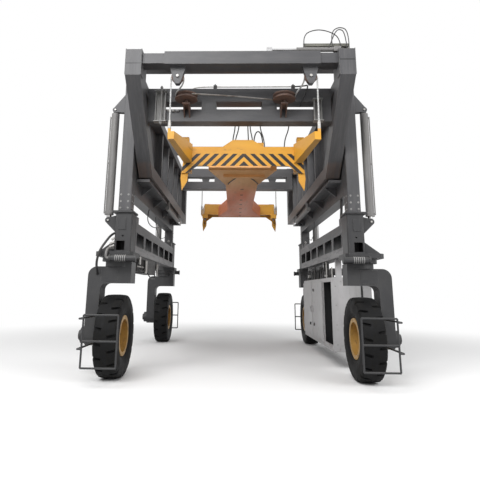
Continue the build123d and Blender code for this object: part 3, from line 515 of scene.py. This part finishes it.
def stud_tree():
    """A hexagonal bolt head with its washer on each seed point, turned to its direction."""
    growth = Growth("studs")
    radius = growth.ask("Radius", "NodeSocketFloat", 0.012)
    height = growth.ask("Height", "NodeSocketFloat", 0.01)
    coat = growth.ask("Material", "NodeSocketMaterial")
    head = growth.node("GeometryNodeMeshCylinder", inputs={
        "Vertices": 6, "Radius": radius, "Depth": height})
    rise = growth.node("ShaderNodeCombineXYZ", inputs={"Z": growth.math("MULTIPLY", height, 0.5)})
    head = growth.node("GeometryNodeTransform", inputs={"Geometry": head, "Translation": rise})
    washer = growth.node("GeometryNodeMeshCylinder", inputs={
        "Vertices": 14, "Radius": growth.math("MULTIPLY", radius, 1.5),
        "Depth": growth.math("MULTIPLY", height, 0.35)})
    stud = growth.node("GeometryNodeJoinGeometry")
    for part in (head, washer):
        growth.tree.links.new(part, stud.node.inputs[0])
    out = growth.node("GeometryNodeInputNamedAttribute", {"data_type": "FLOAT_VECTOR"},
                      {"Name": "out"})
    turn = growth.node("FunctionNodeAlignRotationToVector", {"axis": "Z"}, {"Vector": out})
    copies = growth.node("GeometryNodeInstanceOnPoints", inputs={
        "Points": growth.start.outputs["Geometry"], "Instance": stud, "Rotation": turn})
    return growth.close(copies, coat)


def points_mesh(name, places):
    """Loose points with the direction each looks out, from pairs of place and direction."""
    mesh = bpy.data.meshes.new(name)
    mesh.from_pydata([place for place, _ in places], [], [])
    out = mesh.attributes.new("out", "FLOAT_VECTOR", "POINT")
    for item, (_, direction) in zip(out.data, places):
        item.vector = direction
    return mesh


RING = ring_tree()
STUDS = stud_tree()


def studs(name, places, body, radius, height, finish_name="dark paint", slot="structure_paint"):
    return grown(name, points_mesh(name, places), STUDS, finish_name, body, slot,
                 Radius=radius, Height=height, Material=FINISHES[finish_name])


def slab(shape, corner, opposite, edge=0.003):
    """A plate or block between two opposite corners, with its edges rounded."""
    low = Vector(tuple(map(min, corner, opposite)))
    high = Vector(tuple(map(max, corner, opposite)))
    size = Matrix.Diagonal((*(high - low), 1.0))
    made = bmesh.ops.create_cube(shape, size=1.0,
                                 matrix=Matrix.Translation((low + high) / 2) @ size)
    edges = {near for vertex in made["verts"] for near in vertex.link_edges}
    bmesh.ops.bevel(shape, geom=list(edges), offset=edge, segments=2, affect="EDGES",
                    clamp_overlap=True)


def skin(shape, rings):
    """Faces between closed rings of points, and a cap at each end."""
    for first, second in zip(rings, rings[1:]):
        for turn in range(len(first)):
            after = (turn + 1) % len(first)
            shape.faces.new((first[turn], first[after], second[after], second[turn]))
    shape.faces.new(reversed(rings[0]))
    shape.faces.new(rings[-1])


def turned(shape, start, end, profile, sides=20):
    """A round body from start towards end: pairs of the distance along and the radius."""
    lie = (Vector(end) - Vector(start)).to_track_quat("Z", "Y").to_matrix().to_4x4()
    lie.translation = Vector(start)
    angles = [tau * turn / sides for turn in range(sides)]
    skin(shape, [[shape.verts.new(lie @ Vector((radius * cos(angle), radius * sin(angle), along)))
                  for angle in angles] for along, radius in profile])


def rod(shape, start, end, radius, edge=0.003):
    """A round bar with its ends chamfered."""
    length = (Vector(end) - Vector(start)).length
    turned(shape, start, end, ((0.0, radius - edge), (edge, radius), (length - edge, radius),
                               (length, radius - edge)))


def built(name, finish_name, body, slabs=(), rods=()):
    """A piece of plates, each given by two corners, and rods, by their ends and radius."""
    def build(shape):
        for corner, opposite in slabs:
            slab(shape, corner, opposite)
        for start, end, radius in rods:
            rod(shape, start, end, radius)
    return piece(name, mesh_of(name, build), finish_name, body)


def hose(name, points, radius, body=None, finish_name="hose rubber",
         follow=None):
    """A round hose on a smooth line through a few points. A free one is baked into world space."""
    curve = bpy.data.curves.new(name, "CURVE")
    curve.dimensions = "3D"
    spline = curve.splines.new("NURBS")
    spline.points.add(len(points) - 1)
    for point, place in zip(spline.points, points):
        point.co = (*place, 1.0)
    spline.order_u = 3
    spline.use_endpoint_u = True
    spline.resolution_u = 10
    holder = placed(name + "_route", curve)
    path = [vertex.co.copy() for vertex in plain_mesh(holder).vertices]
    curve.bevel_depth = radius
    curve.bevel_resolution = 4
    curve.use_fill_caps = True
    mesh = plain_mesh(holder)
    bpy.data.objects.remove(holder)
    mesh.polygons.foreach_set("use_smooth", [True] * len(mesh.polygons))
    made = piece(name, mesh, finish_name, body)
    if follow:
        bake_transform(made)
    return made


def pin_ends(name, body, corners, height, radius):
    """Ends of the lift cylinders' pins at the given corners."""
    built(name, "pale fitting", body,
          rods=[((x_sign * PIN_X, y_sign * PIN_FACE, height),
                 (x_sign * PIN_X, y_sign * (PIN_FACE + 0.016), height), radius)
                for x_sign, y_sign in corners])


def bolt_ring(x_sign, y_sign, face, reach, count, out):
    """Places round a wheel's axle for bolts that look out of the crane (1) or inwards (-1)."""
    angles = [tau * turn / count for turn in range(count)]
    return [((x_sign * face, y_sign * WHEEL_Y + reach * cos(angle), AXLE_Z + reach * sin(angle)),
             (float(out * x_sign), 0.0, 0.0)) for angle in angles]


# Tyres

def tyre_profile():
    """Half section from the middle rib out to the bead: x, radius and groove depth share."""
    crown = [(0.0, AXLE_Z, 0.0), (GROOVE_REACH - 0.012, AXLE_Z, 0.0),
             (GROOVE_REACH, AXLE_Z, 0.55), (GROOVE_REACH + 0.02, AXLE_Z - 0.001, 1.0),
             (0.12, AXLE_Z - 0.004, 1.0), (0.16, AXLE_Z - 0.008, 1.0),
             (TREAD_HALF, AXLE_Z - 0.016, 0.95), (0.2, AXLE_Z - 0.04, 0.8),
             (0.206, AXLE_Z - 0.075, 0.5), (0.207, AXLE_Z - 0.095, 0.0)]
    wall = [(0.21, 0.62, 0.0), (0.2145, 0.575, 0.0), (0.2145, 0.545, 0.0), (0.211, 0.505, 0.0),
            (0.203, 0.465, 0.0), (0.2035, 0.458, 0.0), (0.19, 0.425, 0.0), (0.174, 0.392, 0.0),
            (BEAD_HALF + 0.004, 0.374, 0.0), (BEAD_HALF, 0.36, 0.0),
            (BEAD_HALF, BEAD_RADIUS, 0.0)]
    return crown + wall


def tread_step(shape):
    """One pitch of the tyre about the X axis, a slanted groove on each shoulder."""
    half = tyre_profile()
    profile = [(-x, r, g, 0) for x, r, g in reversed(half)] + [(x, r, g, 1) for x, r, g in half[1:]]
    pitch = tau / LUGS
    rows = []
    for share in (0.0, 0.04, 0.07, 0.2, 0.23, 0.27, 0.36, 0.5, 0.54, 0.57, 0.7, 0.73, 0.77, 0.88,
                  1.0):
        lean = sin(pi * min(1.0, share * (1 - share) * 4))
        row = []
        for x, radius, groove, side in profile:
            start, end = GROOVE_FLOORS[side]
            low = radius - (GROOVE_DEPTH * groove if start <= share <= end else 0.0)
            slant = GROOVE_SLANT * pitch * max(0.0, abs(x) - GROOVE_REACH) / SLANT_SPAN
            angle = share * pitch + (slant * lean if groove else 0.0)
            row.append(shape.verts.new((x, -low * cos(angle), low * sin(angle))))
        rows.append(row)
    for first, second in zip(rows, rows[1:]):
        for place in range(len(profile) - 1):
            shape.faces.new((first[place], first[place + 1], second[place + 1], second[place]))


def rework(mesh, change):
    """Changes a finished mesh by a function that takes its bmesh."""
    shape = bmesh.new()
    shape.from_mesh(mesh)
    change(shape)
    shape.to_mesh(mesh)
    shape.free()


def close_bead(shape):
    """Joins the tyre's two beads by a band along the rim's seat."""
    bmesh.ops.remove_doubles(shape, verts=shape.verts, dist=2e-4)
    loose = [edge for edge in shape.edges if len(edge.link_faces) == 1]
    bmesh.ops.bridge_loops(shape, edges=loose)


def face_outwards(shape):
    bmesh.ops.recalc_face_normals(shape, faces=shape.faces)


def make_tyres():
    """Block-lug tyres that stand for the plain CAD ones."""
    step = mesh_of("tread_step", tread_step)
    for corner, x_sign, y_sign in CORNERS:
        tyre = grown(f"lug_tyre_{corner}", step.copy(), RING, "rubber", None, None, Count=LUGS)
        rework(tyre.data, close_bead)
        tyre.data.transform(Matrix.Translation((x_sign * WHEEL_X, y_sign * WHEEL_Y, AXLE_Z))
                            @ Matrix.Diagonal((x_sign, 1.0, 1.0, 1.0)))
        rework(tyre.data, face_outwards)
        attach(tyre, f"wheel_{corner}")
        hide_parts(f"tyre_{corner}")


# Spreader and its ropes

def dress_spreader():
    """Lips, blocks, rope sockets, flipper pins and hoses of the spreader."""
    under, crown = 3.962, 4.395     # hose below the core, and the crown's top
    built("board_lip", "core paint", "spreader",
          slabs=[((-0.6, -3.2, 3.955), (0.63, -3.155, 3.992)),
                 ((-0.32, -2.56, 3.925), (0.55, -2.44, 3.979))])
    built("root_blocks", "amber paint", "spreader",
          slabs=[((x - 0.07, -3.12, 4.4), (x + 0.07, -2.98, 4.62)) for x in ARM_X]
          + [((0.2, -3.12, 4.4), (0.5, -2.98, 4.5))])
    hose("core_arch_hose", [(-0.23, -1.77, under), (-0.1, -2.3, under), (0.1, -2.5, under),
                            (0.3, -2.33, under), (0.45, -1.8, under)], 0.01, "spreader")
    hose("crown_loop_hose", [(0.3, -2.95, crown), (0.31, -2.95, 4.8), (0.49, -2.95, 4.8),
                             (0.5, -2.95, crown)], 0.012, "spreader")
    routes = ((-0.07, -0.13), (0.01, -0.08), (0.18, 0.2), (0.22, 0.29), (0.42, 0.53), (1.02, 0.93))
    for number, (top, foot) in enumerate(routes):
        hose(f"spreader_hose_{number}", [(top, -3.19, 5.02), (top, -3.15, 4.8),
                                         (foot, -2.97, 4.6), (foot, -2.95, crown)], 0.011,
             follow=("side_shift", "spreader", (foot, -3.1, 4.9), (foot, -3.1, 4.5)))
    sockets = []
    for x in ROPE_X:
        for y in (-ROPE_Y, ROPE_Y):
            sockets += [((x, y, 4.41), (x, y, 4.54), 0.03), ((x, y, 4.53), (x, y, 4.57), 0.022)]
    built("rope_sockets", "pale fitting", "spreader", rods=sockets)
    built("flipper_pins", "black iron", "spreader",
          rods=[((x, end * 3.075, 3.78), (x, end * 3.01, 3.78), 0.02)
                for x in ARM_X for _, end in ENDS])


def rope_strands(shape):
    """Four ropes with six twisted strands each."""
    rings, sides = 90, 12
    for x in ROPE_X:
        for y in (-ROPE_Y, ROPE_Y):
            rows = []
            for ring in range(rings + 1):
                height = ROPE_FOOT + (ROPE_TOP - ROPE_FOOT) * ring / rings
                row = []
                for turn in range(sides):
                    reach = 0.015 - 0.0025 * (turn % 2)
                    angle = tau * turn / sides + 0.3 * ring
                    row.append(shape.verts.new((x + reach * cos(angle), y + reach * sin(angle),
                                                height)))
                rows.append(row)
            skin(shape, rows)


def dress_ropes():
    """Stranded hoist ropes in place of the plain CAD ones."""
    ropes = piece("stranded_ropes", mesh_of("stranded_ropes", rope_strands), "rope wire", None)
    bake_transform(ropes)
    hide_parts("hoist_ropes")


# Side shift and inner frame

def dress_hangers():
    """Pin heads on the hangers and the ropes that run back to the turning sheaves."""
    built("hanger_pin_heads", "pale fitting", "side_shift",
          rods=[((x, -4.2, ROPE_TOP), (x, -4.223, ROPE_TOP), 0.026) for x in (-1.14, 1.3)])
    for side, hanger_x, sheave_x in (("left", -1.03, -1.225), ("right", 1.19, 1.065)):
        hose(f"lead_rope_{side}", [(hanger_x, -4.145, 5.4), (hanger_x, -4.05, 5.33),
                                   (sheave_x, -3.85, 5.24), (sheave_x, -3.72, 5.21)], 0.014,
             finish_name="rope wire",
             follow=("side_shift", "inner_frame", (hanger_x, -4.12, 5.3), (hanger_x, -3.76, 5.3)))
    for number, shift in enumerate((0.0, 0.024)):
        hose(f"cross_rope_{number}", [(-0.9, -3.895 - shift, 5.2), (0.0, -3.79 - shift, 5.205),
                                      (0.75, -3.56 - shift, 5.215)], 0.008, "inner_frame",
             finish_name="worn steel")


def dress_heads():
    """Lips on the sides of the two head boxes."""
    built("head_lips", "grey paint", "inner_frame",
          slabs=[((sign * inner, HEAD_FRONT + 0.001, 5.39), (sign * outer, HEAD_FRONT + 0.2, 5.905))
                 for _, sign in SIDES for inner, outer in ((1.789, 1.802), (2.078, 2.091))])


def dress_tray():
    """Hose tray over the side-shift cylinder, and the hoses that loop over it."""
    front, back, start, end, floor = -4.17, -4.03, 1.18, 2.02, 6.022
    built("hose_tray", "tray paint", "inner_frame",
          slabs=[((start, front, floor), (end, back, 6.03)),
                 ((start, front, floor), (end, front + 0.008, 6.085)),
                 ((start, back - 0.008, floor), (end, back, 6.085)),
                 ((1.9, -4.15, 5.889), (1.93, -4.05, 6.024)),
                 ((1.99, -4.15, 5.889), (2.02, -4.05, 6.024))])
    routes = {
        "wide": [(1.2, -4.19, 5.97), (1.16, -4.19, 6.24), (1.42, -4.19, 6.37), (1.7, -4.19, 6.31),
                 (1.87, -4.19, 6.16), (1.87, -4.19, 5.895)],
        "tall": [(1.71, -4.215, 5.975), (1.68, -4.215, 6.27), (1.84, -4.215, 6.405),
                 (2.03, -4.215, 6.32), (2.01, -4.215, 5.895)],
        "back": [(1.64, -4.24, 5.96), (1.7, -4.24, 6.12), (1.76, -4.24, 6.26), (1.83, -4.24, 6.34),
                 (1.95, -4.24, 6.28), (1.97, -4.24, 5.895)]}
    for name, points in routes.items():
        hose(f"tray_hose_{name}", points, 0.009, "inner_frame")


def dress_front_beam():
    """Pipe over the front cross beam, its clamps, and the tie rods at the beam's ends."""
    face, ledge, pipe_y, pipe_z = -3.498, 5.495, -3.4, 5.583
    hose("beam_pipe", [(-0.98, pipe_y, ledge), (-0.93, pipe_y, 5.56), (-0.72, pipe_y, pipe_z),
                       (-0.4, pipe_y, pipe_z), (0.4, pipe_y, pipe_z), (1.1, pipe_y, 5.586)], 0.011,
         "inner_frame", "pale fitting")
    hose("beam_hose", [(1.1, pipe_y, 5.586), (1.3, -3.42, 5.59), (1.36, -3.56, 5.55),
                       (1.3, -3.58, 5.36), (1.22, -3.56, 5.22), (1.2, -3.45, 5.14)], 0.014,
         "inner_frame")
    built("pipe_clamps", "black iron", "inner_frame",
          slabs=[((x - wide, pipe_y - deep, low), (x + wide, pipe_y + deep, high))
                 for wide, deep, low, high in ((0.035, 0.03, ledge, 5.61),
                                               (0.012, 0.012, 5.6, 5.64))
                 for x in (-0.48, 1.08)])
    channels = []
    for low, high, foot, top in ((-1.64, -1.44, 4.76, 5.41), (1.45, 1.6, 4.78, 5.24)):
        channels += [((low, -3.6, foot), (low + 0.014, face, top)),
                     ((high - 0.014, -3.6, foot), (high, face, top)),
                     ((low, face - 0.014, foot), (high, face, top)),
                     ((low - 0.02, -3.64, foot), (high + 0.02, face, foot + 0.016)),
                     ((low - 0.02, -3.64, top - 0.016), (high + 0.02, face, top))]
    built("tie_channels", "pale steel", "inner_frame", slabs=channels)
    rods = []
    for x, foot, top in ((-1.52, 4.7, 5.5), (1.53, 4.72, 5.32)):
        rods += [((x, -3.62, foot), (x, -3.62, top), 0.014)]
        rods += [((x, -3.62, z), (x, -3.62, z + 0.026), 0.028) for z in (foot + 0.02, top - 0.05)]
    rods += [((x, -3.53, 5.02), (x + 0.05, -3.53, 5.02), 0.022) for x in (-1.4, -1.32, -1.24)]
    built("tie_rods", "pale steel", "inner_frame", rods=rods)


# Portal

def dress_portal():
    """Bolts on the legs' feet, pin ends, rings on the rear legs, and the girders' hoses."""
    leg_end, leg_inner, leg_outer = 3.115, 2.12, 2.37
    places = []
    for _, x_sign, y_sign in CORNERS:
        for z in (3.152, 3.285, 3.42):
            places += [((x_sign * x, y_sign * leg_end, z), (0.0, float(y_sign), 0.0))
                       for x in (2.18, 2.326)]
            for y in (2.92, 3.04):
                places += [((x_sign * leg_inner, y_sign * y, z), (-float(x_sign), 0.0, 0.0)),
                           ((x_sign * leg_outer, y_sign * y, z), (float(x_sign), 0.0, 0.0))]
    studs("leg_bolts", places, "portal", 0.014, 0.012, "pale steel")
    pin_ends("upper_pin_ends", "portal", [corner[1:] for corner in CORNERS], 5.25, 0.019)
    for name, finish_name, slot, start, end, radius in (
            ("leg_rings", "pale fitting", "bright_rod", 2.846, 2.832, 0.034),
            ("leg_ring_bolts", "black iron", "structure_paint", 2.84, 2.824, 0.014)):
        built(name, finish_name, "portal",
              rods=[((sign * 2.23, start, 3.136), (sign * 2.23, end, 3.136), radius)
                    for _, sign in SIDES])
    hose("girder_hose_long", [(-2.14, -1.14, GIRDER_UNDER), (-2.16, -1.36, 3.2), (-2.15, -0.6, 3.1),
                              (-2.14, 0.6, 3.28), (-2.14, 1.77, GIRDER_UNDER)], 0.011, "portal")
    hose("girder_hose_left", [(-2.18, 0.0, GIRDER_UNDER), (-2.17, 0.0, 3.22), (-2.2, 0.9, 3.0),
                              (-2.33, 2.2, 3.15), (-2.33, 2.85, 3.28)], 0.009, "portal")
    hose("girder_hose_right", [(2.13, 0.6, GIRDER_UNDER), (2.15, 0.72, 3.2), (2.2, 1.5, 3.05),
                               (2.3, 2.3, 3.15), (2.31, 2.85, 3.29)], 0.009, "portal")
    hose("girder_feed", [(2.15, -2.5, GIRDER_UNDER), (2.15, -2.49, 3.3), (2.14, -2.46, 3.1),
                         (2.13, -2.43, 2.9)], 0.028,
         follow=("portal", "base_right", (2.15, -2.5, 3.46), (2.15, -2.5, 2.92)))


# Bases: fittings, steering hose, machinery under the beams

def dress_columns():
    """Pin ends, worm ribs and bolts of the columns, and the pipes of the left front steering."""
    for side, sign in SIDES:
        pin_ends(f"lower_pin_ends_{side}", f"base_{side}", [(sign, end) for _, end in ENDS],
                 2.92, 0.02)
        built(f"worm_ribs_{side}", "pale steel", f"base_{side}",
              rods=[((sign * start, end * WORM_Y, WORM_Z),
                     (sign * (start + 0.016), end * WORM_Y, WORM_Z), 0.0625)
                    for _, end in ENDS for start in (2.1 + 0.036 * rib for rib in range(6))])
        places = [((sign * (WHEEL_X + 0.34 * cos(turn)), end * (WHEEL_Y - 0.29 * sin(turn)), 2.285),
                   (0.0, 0.0, 1.0)) for _, end in ENDS for turn in (-0.35, -0.7, 0.35, 0.7)]
        studs(f"base_bolts_{side}", places, f"base_{side}", 0.016, 0.014)
    built("steer_fittings", "pale fitting", "base_left",
          rods=[((-2.375, -3.215, start), (x, -3.215, end), radius)
                for start, x, end, radius in ((2.55, -2.43, 2.51, 0.022),
                                              (2.468, -2.46, 2.435, 0.02),
                                              (2.405, -2.47, 2.375, 0.02))])
    hose("steer_elbow", [(-2.385, -3.16, 2.36), (-2.46, -3.18, 2.36), (-2.475, -3.3, 2.33),
                         (-2.475, -WORM_Y, 2.25), (-2.47, -WORM_Y, 2.15),
                         (-2.41, -WORM_Y, WORM_Z)], 0.026,
         "base_left", "cylinder paint")
    hose("steer_hose", [(-2.392, -3.1, 2.66), (-2.44, -3.2, 2.62), (-2.51, -3.33, 2.46),
                        (-2.59, -3.39, 2.3), (-2.64, -3.38, 2.12), (-2.665, -3.28, 1.97),
                        (-2.672, -3.15, 1.86)], 0.022,
         follow=("base_left", "fork_front_left", (-2.5, -3.3, 2.3), (-2.65, -3.3, 2.0)))


def dress_left_unit():
    """Accumulators, valves and hoses under the left side beam."""
    built("left_accumulators", "pale fitting", "base_left",
          rods=[((-2.066, -2.26, 2.1), (-2.066, -2.26, 2.26), 0.026),
                ((-2.05, -1.64, 1.94), (-2.05, -1.64, 2.215), 0.026),
                ((-2.05, -0.21, 1.93), (-2.05, -0.21, 2.215), 0.022),
                ((-2.12, -2.36, 2.06), (-2.12, -1.56, 2.07), 0.02)])
    built("left_valves", "black iron", "base_left",
          slabs=[((-2.3, -2.36, 2.13), (-2.09, -2.1, BEAM_UNDER)),
                 ((-2.24, -1.62, 1.99), (-2.08, -1.56, BEAM_UNDER)),
                 ((-2.3, -0.19, 2.1), (-2.08, 0.3, BEAM_UNDER)),
                 ((-2.14, -2.37, 2.04), (-2.1, -2.33, BEAM_UNDER))])
    routes = (((-2.15, -2.3, 2.29), 2.0, (-2.1, -1.54, 2.0)),
              ((-2.08, -1.3, 1.96), 1.86, (-2.08, -0.4, 1.96)))
    for number, (start, dip, end) in enumerate(routes):
        hose(f"left_unit_hose_{number}", [start, (start[0] + 0.04, start[1] + 0.08, dip),
                                          (start[0] + 0.05, (start[1] + end[1]) / 2, dip - 0.03),
                                          (end[0] + 0.04, end[1] - 0.08, dip), end],
             0.014, "base_left")


def dress_right_unit():
    """Valves, pipes and hoses between the cabinet and the side beam."""
    foot = 1.893            # of the hoses and pipes on the cabinet's top
    starts = (-0.78, -0.55, -0.3, 0.0, 0.2, 0.62, 0.85, 1.1, 1.5, 1.72)
    bank = [((2.1, y, 1.9), (2.3, y + 0.17, 2.06 + 0.05 * (number % 3)))
            for number, y in enumerate(starts)]
    bank += [((2.12, -1.05, 1.885), (2.3, 1.95, 1.92)), ((2.16, -0.4, 1.9), (2.28, 0.7, 2.27))]
    built("right_valves", "black iron", "base_right", slabs=bank)
    built("right_pipes", "pale fitting", "base_right",
          rods=[((2.08, -1.03, foot), (2.08, -1.03, 2.27), 0.014),
                ((2.11, 1.39, 2.0), (2.055, 1.39, 2.0), 0.045),
                ((2.11, 1.3, 2.0), (2.11, 1.5, 2.0), 0.02),
                ((2.09, -0.96, 1.95), (2.09, -0.86, 1.95), 0.026),
                ((2.08, -1.62, 1.9), (2.08, -1.62, 2.12), 0.012)])
    routes = ((-0.7, -0.1, 2.16), (-0.45, 0.3, 2.12), (0.3, 0.95, 2.17), (0.7, 1.6, 2.14))
    for number, (start, end, rise) in enumerate(routes):
        hose(f"right_unit_hose_{number}", [(2.075, start, foot), (2.07, start + 0.03, rise),
                                           (2.07, (start + end) / 2, rise + 0.05),
                                           (2.07, end - 0.04, rise - 0.03), (2.075, end, foot)],
             0.013, "base_right")


def dress_cabinet():
    """Panels and screws on the cabinet's front end, and locks on its doors."""
    front, back = CABINET_LOW[1], CABINET_LOW[1] + 0.004
    post, rail = front - 0.006, front - 0.005
    built("cabinet_panels", "cabinet paint", "base_right",
          slabs=[((CABINET_LOW[0] + 0.005, post, 0.36), (2.15, back, 1.88)),
                 ((2.17, rail, 1.815), (2.63, back, 1.882)),
                 ((2.17, rail, 0.36), (2.63, back, 0.46)),
                 ((2.69, post, 0.36), (CABINET_HIGH[0] - 0.005, back, 1.66))])
    places = [((x, rail, 1.8), (0.0, -1.0, 0.0)) for x in (2.22, 2.32, 2.42, 2.52, 2.6)]
    places += [((2.1, post, z), (0.0, -1.0, 0.0)) for z in (0.5, 0.9, 1.3, 1.7)]
    studs("cabinet_screws", places, "base_right", 0.008, 0.005, "pale steel", "cabinet_grey")
    for body, spots in (("door_front", ((0.4, 1.62), (0.4, 0.76))),
                        ("door_rear", ((0.85, 1.174), (0.95, 0.75)))):
        built(f"{body}_locks", "black iron", body,
              slabs=[((1.988, y - 0.03, z - 0.035), (2.012, y + 0.03, z + 0.035))
                     for y, z in spots])


def dress_forks():
    """Cover plate on each fork's crown, hub bolts and rim bolts."""
    for corner, x_sign, y_sign in CORNERS:
        built(f"crown_plate_{corner}", "dark paint", f"fork_{corner}",
              slabs=[((x_sign * 2.275, y_sign * 3.162, 1.73),
                      (x_sign * 2.6, y_sign * 3.171, 1.985))])
        studs(f"motor_bolts_{corner}", bolt_ring(x_sign, y_sign, 2.94, 0.125, 10, 1),
              f"fork_{corner}", 0.011, 0.01)
        studs(f"rim_bolts_{corner}", bolt_ring(x_sign, y_sign, RIM_DISC - 0.001, 0.2, 14, -1),
              f"wheel_{corner}", 0.013, 0.014, "rim gold", "rim_gold")


make_tyres()
dress_spreader()
dress_ropes()
dress_hangers()
dress_heads()
dress_tray()
dress_front_beam()
dress_portal()
dress_columns()
dress_left_unit()
dress_right_unit()
dress_cabinet()
dress_forks()


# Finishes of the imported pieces

COATS = {"grey paint": ["portal_ties", "cross_members", "shift_tubes", "legs_*", "girder_*"],
         "dark paint": ["columns_*", "fork_*", "slew_drives_*"],
         "panel paint": ["inner_side_*"],
         "left beam paint": ["side_beam_left"], "right beam paint": ["side_beam_right"],
         "cylinder paint": ["lift_barrels_*", "shift_barrels"],
         "bright steel": ["lift_rods_*", "frame_shift_rods", "side_shift_rod"],
         "worn steel": ["twistlocks"],
         "sheave brown": ["turning_sheaves", "hanger_sheaves"],
         "rope wire": ["hoist_ropes"],
         "amber paint": ["spreader_ends"], "core paint": ["spreader_core"],
         "cabinet paint": ["power_pack", "power_pack_door_*"],
         "black iron": ["engine", "muffler", "hydraulic_unit"],
         "rubber": ["tyre_*"], "rim gold": ["rim_*"]}

for finish_name, patterns in COATS.items():
    for pattern in patterns:
        for name, node in nodes.items():
            if name == pattern or pattern.endswith("*") and name.startswith(pattern[:-1]):
                node.data.materials.clear()
                node.data.materials.append(FINISHES[finish_name])


# Floor, light and camera

def seen_directly(start):
    """1 for rays from the camera and for those seen in gloss or through glass."""
    rays = [start.node("ShaderNodeLightPath", output=name)
            for name in ("Is Camera Ray", "Is Glossy Ray", "Is Transmission Ray")]
    return rays[0].math("MAXIMUM", rays[1]).math("MAXIMUM", rays[2])


def floor_material():
    """Matt floor that fades to white away from the crane."""
    material = bpy.data.materials.new("pale_floor")
    start = emptied(material)
    place = start.node("ShaderNodeTexCoord", output="Object")
    seen = seen_directly(start)
    away = place.node("ShaderNodeVectorMath", {"operation": "LENGTH"}, {0: place}, "Value")
    colour = seen.mix((0.38, 0.38, 0.38), (0.92, 0.92, 0.92))
    matt = start.node("ShaderNodeBsdfDiffuse", inputs={"Color": colour})
    white = start.node("ShaderNodeEmission", inputs={"Color": (1.0, 1.0, 1.0)})
    far = away.band(6.0, 13.0) * seen
    mixed = start.node("ShaderNodeMixShader", inputs={0: far, 1: matt, 2: white})
    start.node("ShaderNodeOutputMaterial", inputs={"Surface": mixed})
    return material


def make_floor():
    def flat(shape):
        bmesh.ops.create_grid(shape, x_segments=1, y_segments=1, size=FLOOR_REACH)

    floor = piece("floor", mesh_of("floor", flat), None)
    floor.data.materials.append(floor_material())


def make_sky():
    """Soft light that is brighter from above, on a white background."""
    world = bpy.data.worlds.new("soft_sky")
    bpy.context.scene.world = world
    start = emptied(world)
    up = start.node("ShaderNodeTexCoord", output="Generated").axis("Z")
    light = up.band(-0.2, 0.9, SKY_LOW, SKY_HIGH)
    seen = seen_directly(start)
    strength = light * (1 - seen) + seen
    sky = start.node("ShaderNodeBackground",
                     inputs={"Color": (1.0, 1.0, 1.0), "Strength": strength})
    start.node("ShaderNodeOutputWorld", inputs={"Surface": sky})


def make_lamp(name, place, aim, size, power):
    """A soft panel light aimed at a point."""
    lamp = bpy.data.lights.new(name, "AREA")
    lamp.shape = "RECTANGLE"
    lamp.size, lamp.size_y = size
    lamp.energy = power
    made = placed(name, lamp)
    made.location = place
    made.rotation_euler = (Vector(aim) - Vector(place)).to_track_quat("-Z", "Y").to_euler()


def make_camera():
    """Standing eye height in front of the crane, looking slightly up."""
    camera = bpy.data.cameras.new("camera")
    camera.lens = 33.235
    camera.sensor_width = 36.0
    camera.shift_x = 0.03745
    camera.shift_y = -0.1046
    eye, turn, tilt, roll = (-0.085, -11.643, 1.589), 1.641, 12.782, 0.636
    made = placed("camera", camera)
    made.matrix_world = (Matrix.Translation(eye) @ Matrix.Rotation(radians(turn), 4, "Z")
                         @ Matrix.Rotation(radians(90.0 + tilt), 4, "X")
                         @ Matrix.Rotation(radians(roll), 4, "Z"))
    bpy.context.scene.camera = made


make_floor()
make_sky()
make_lamp("key", (-5.0, -12.0, 11.0), (0.0, 0.0, 3.5), (9.0, 6.0), 1500.0)
make_lamp("fill", (9.0, -9.0, 7.0), (0.0, 0.0, 3.0), (6.0, 6.0), 500.0)
make_camera()
bpy.context.scene.view_settings.view_transform = "Standard"
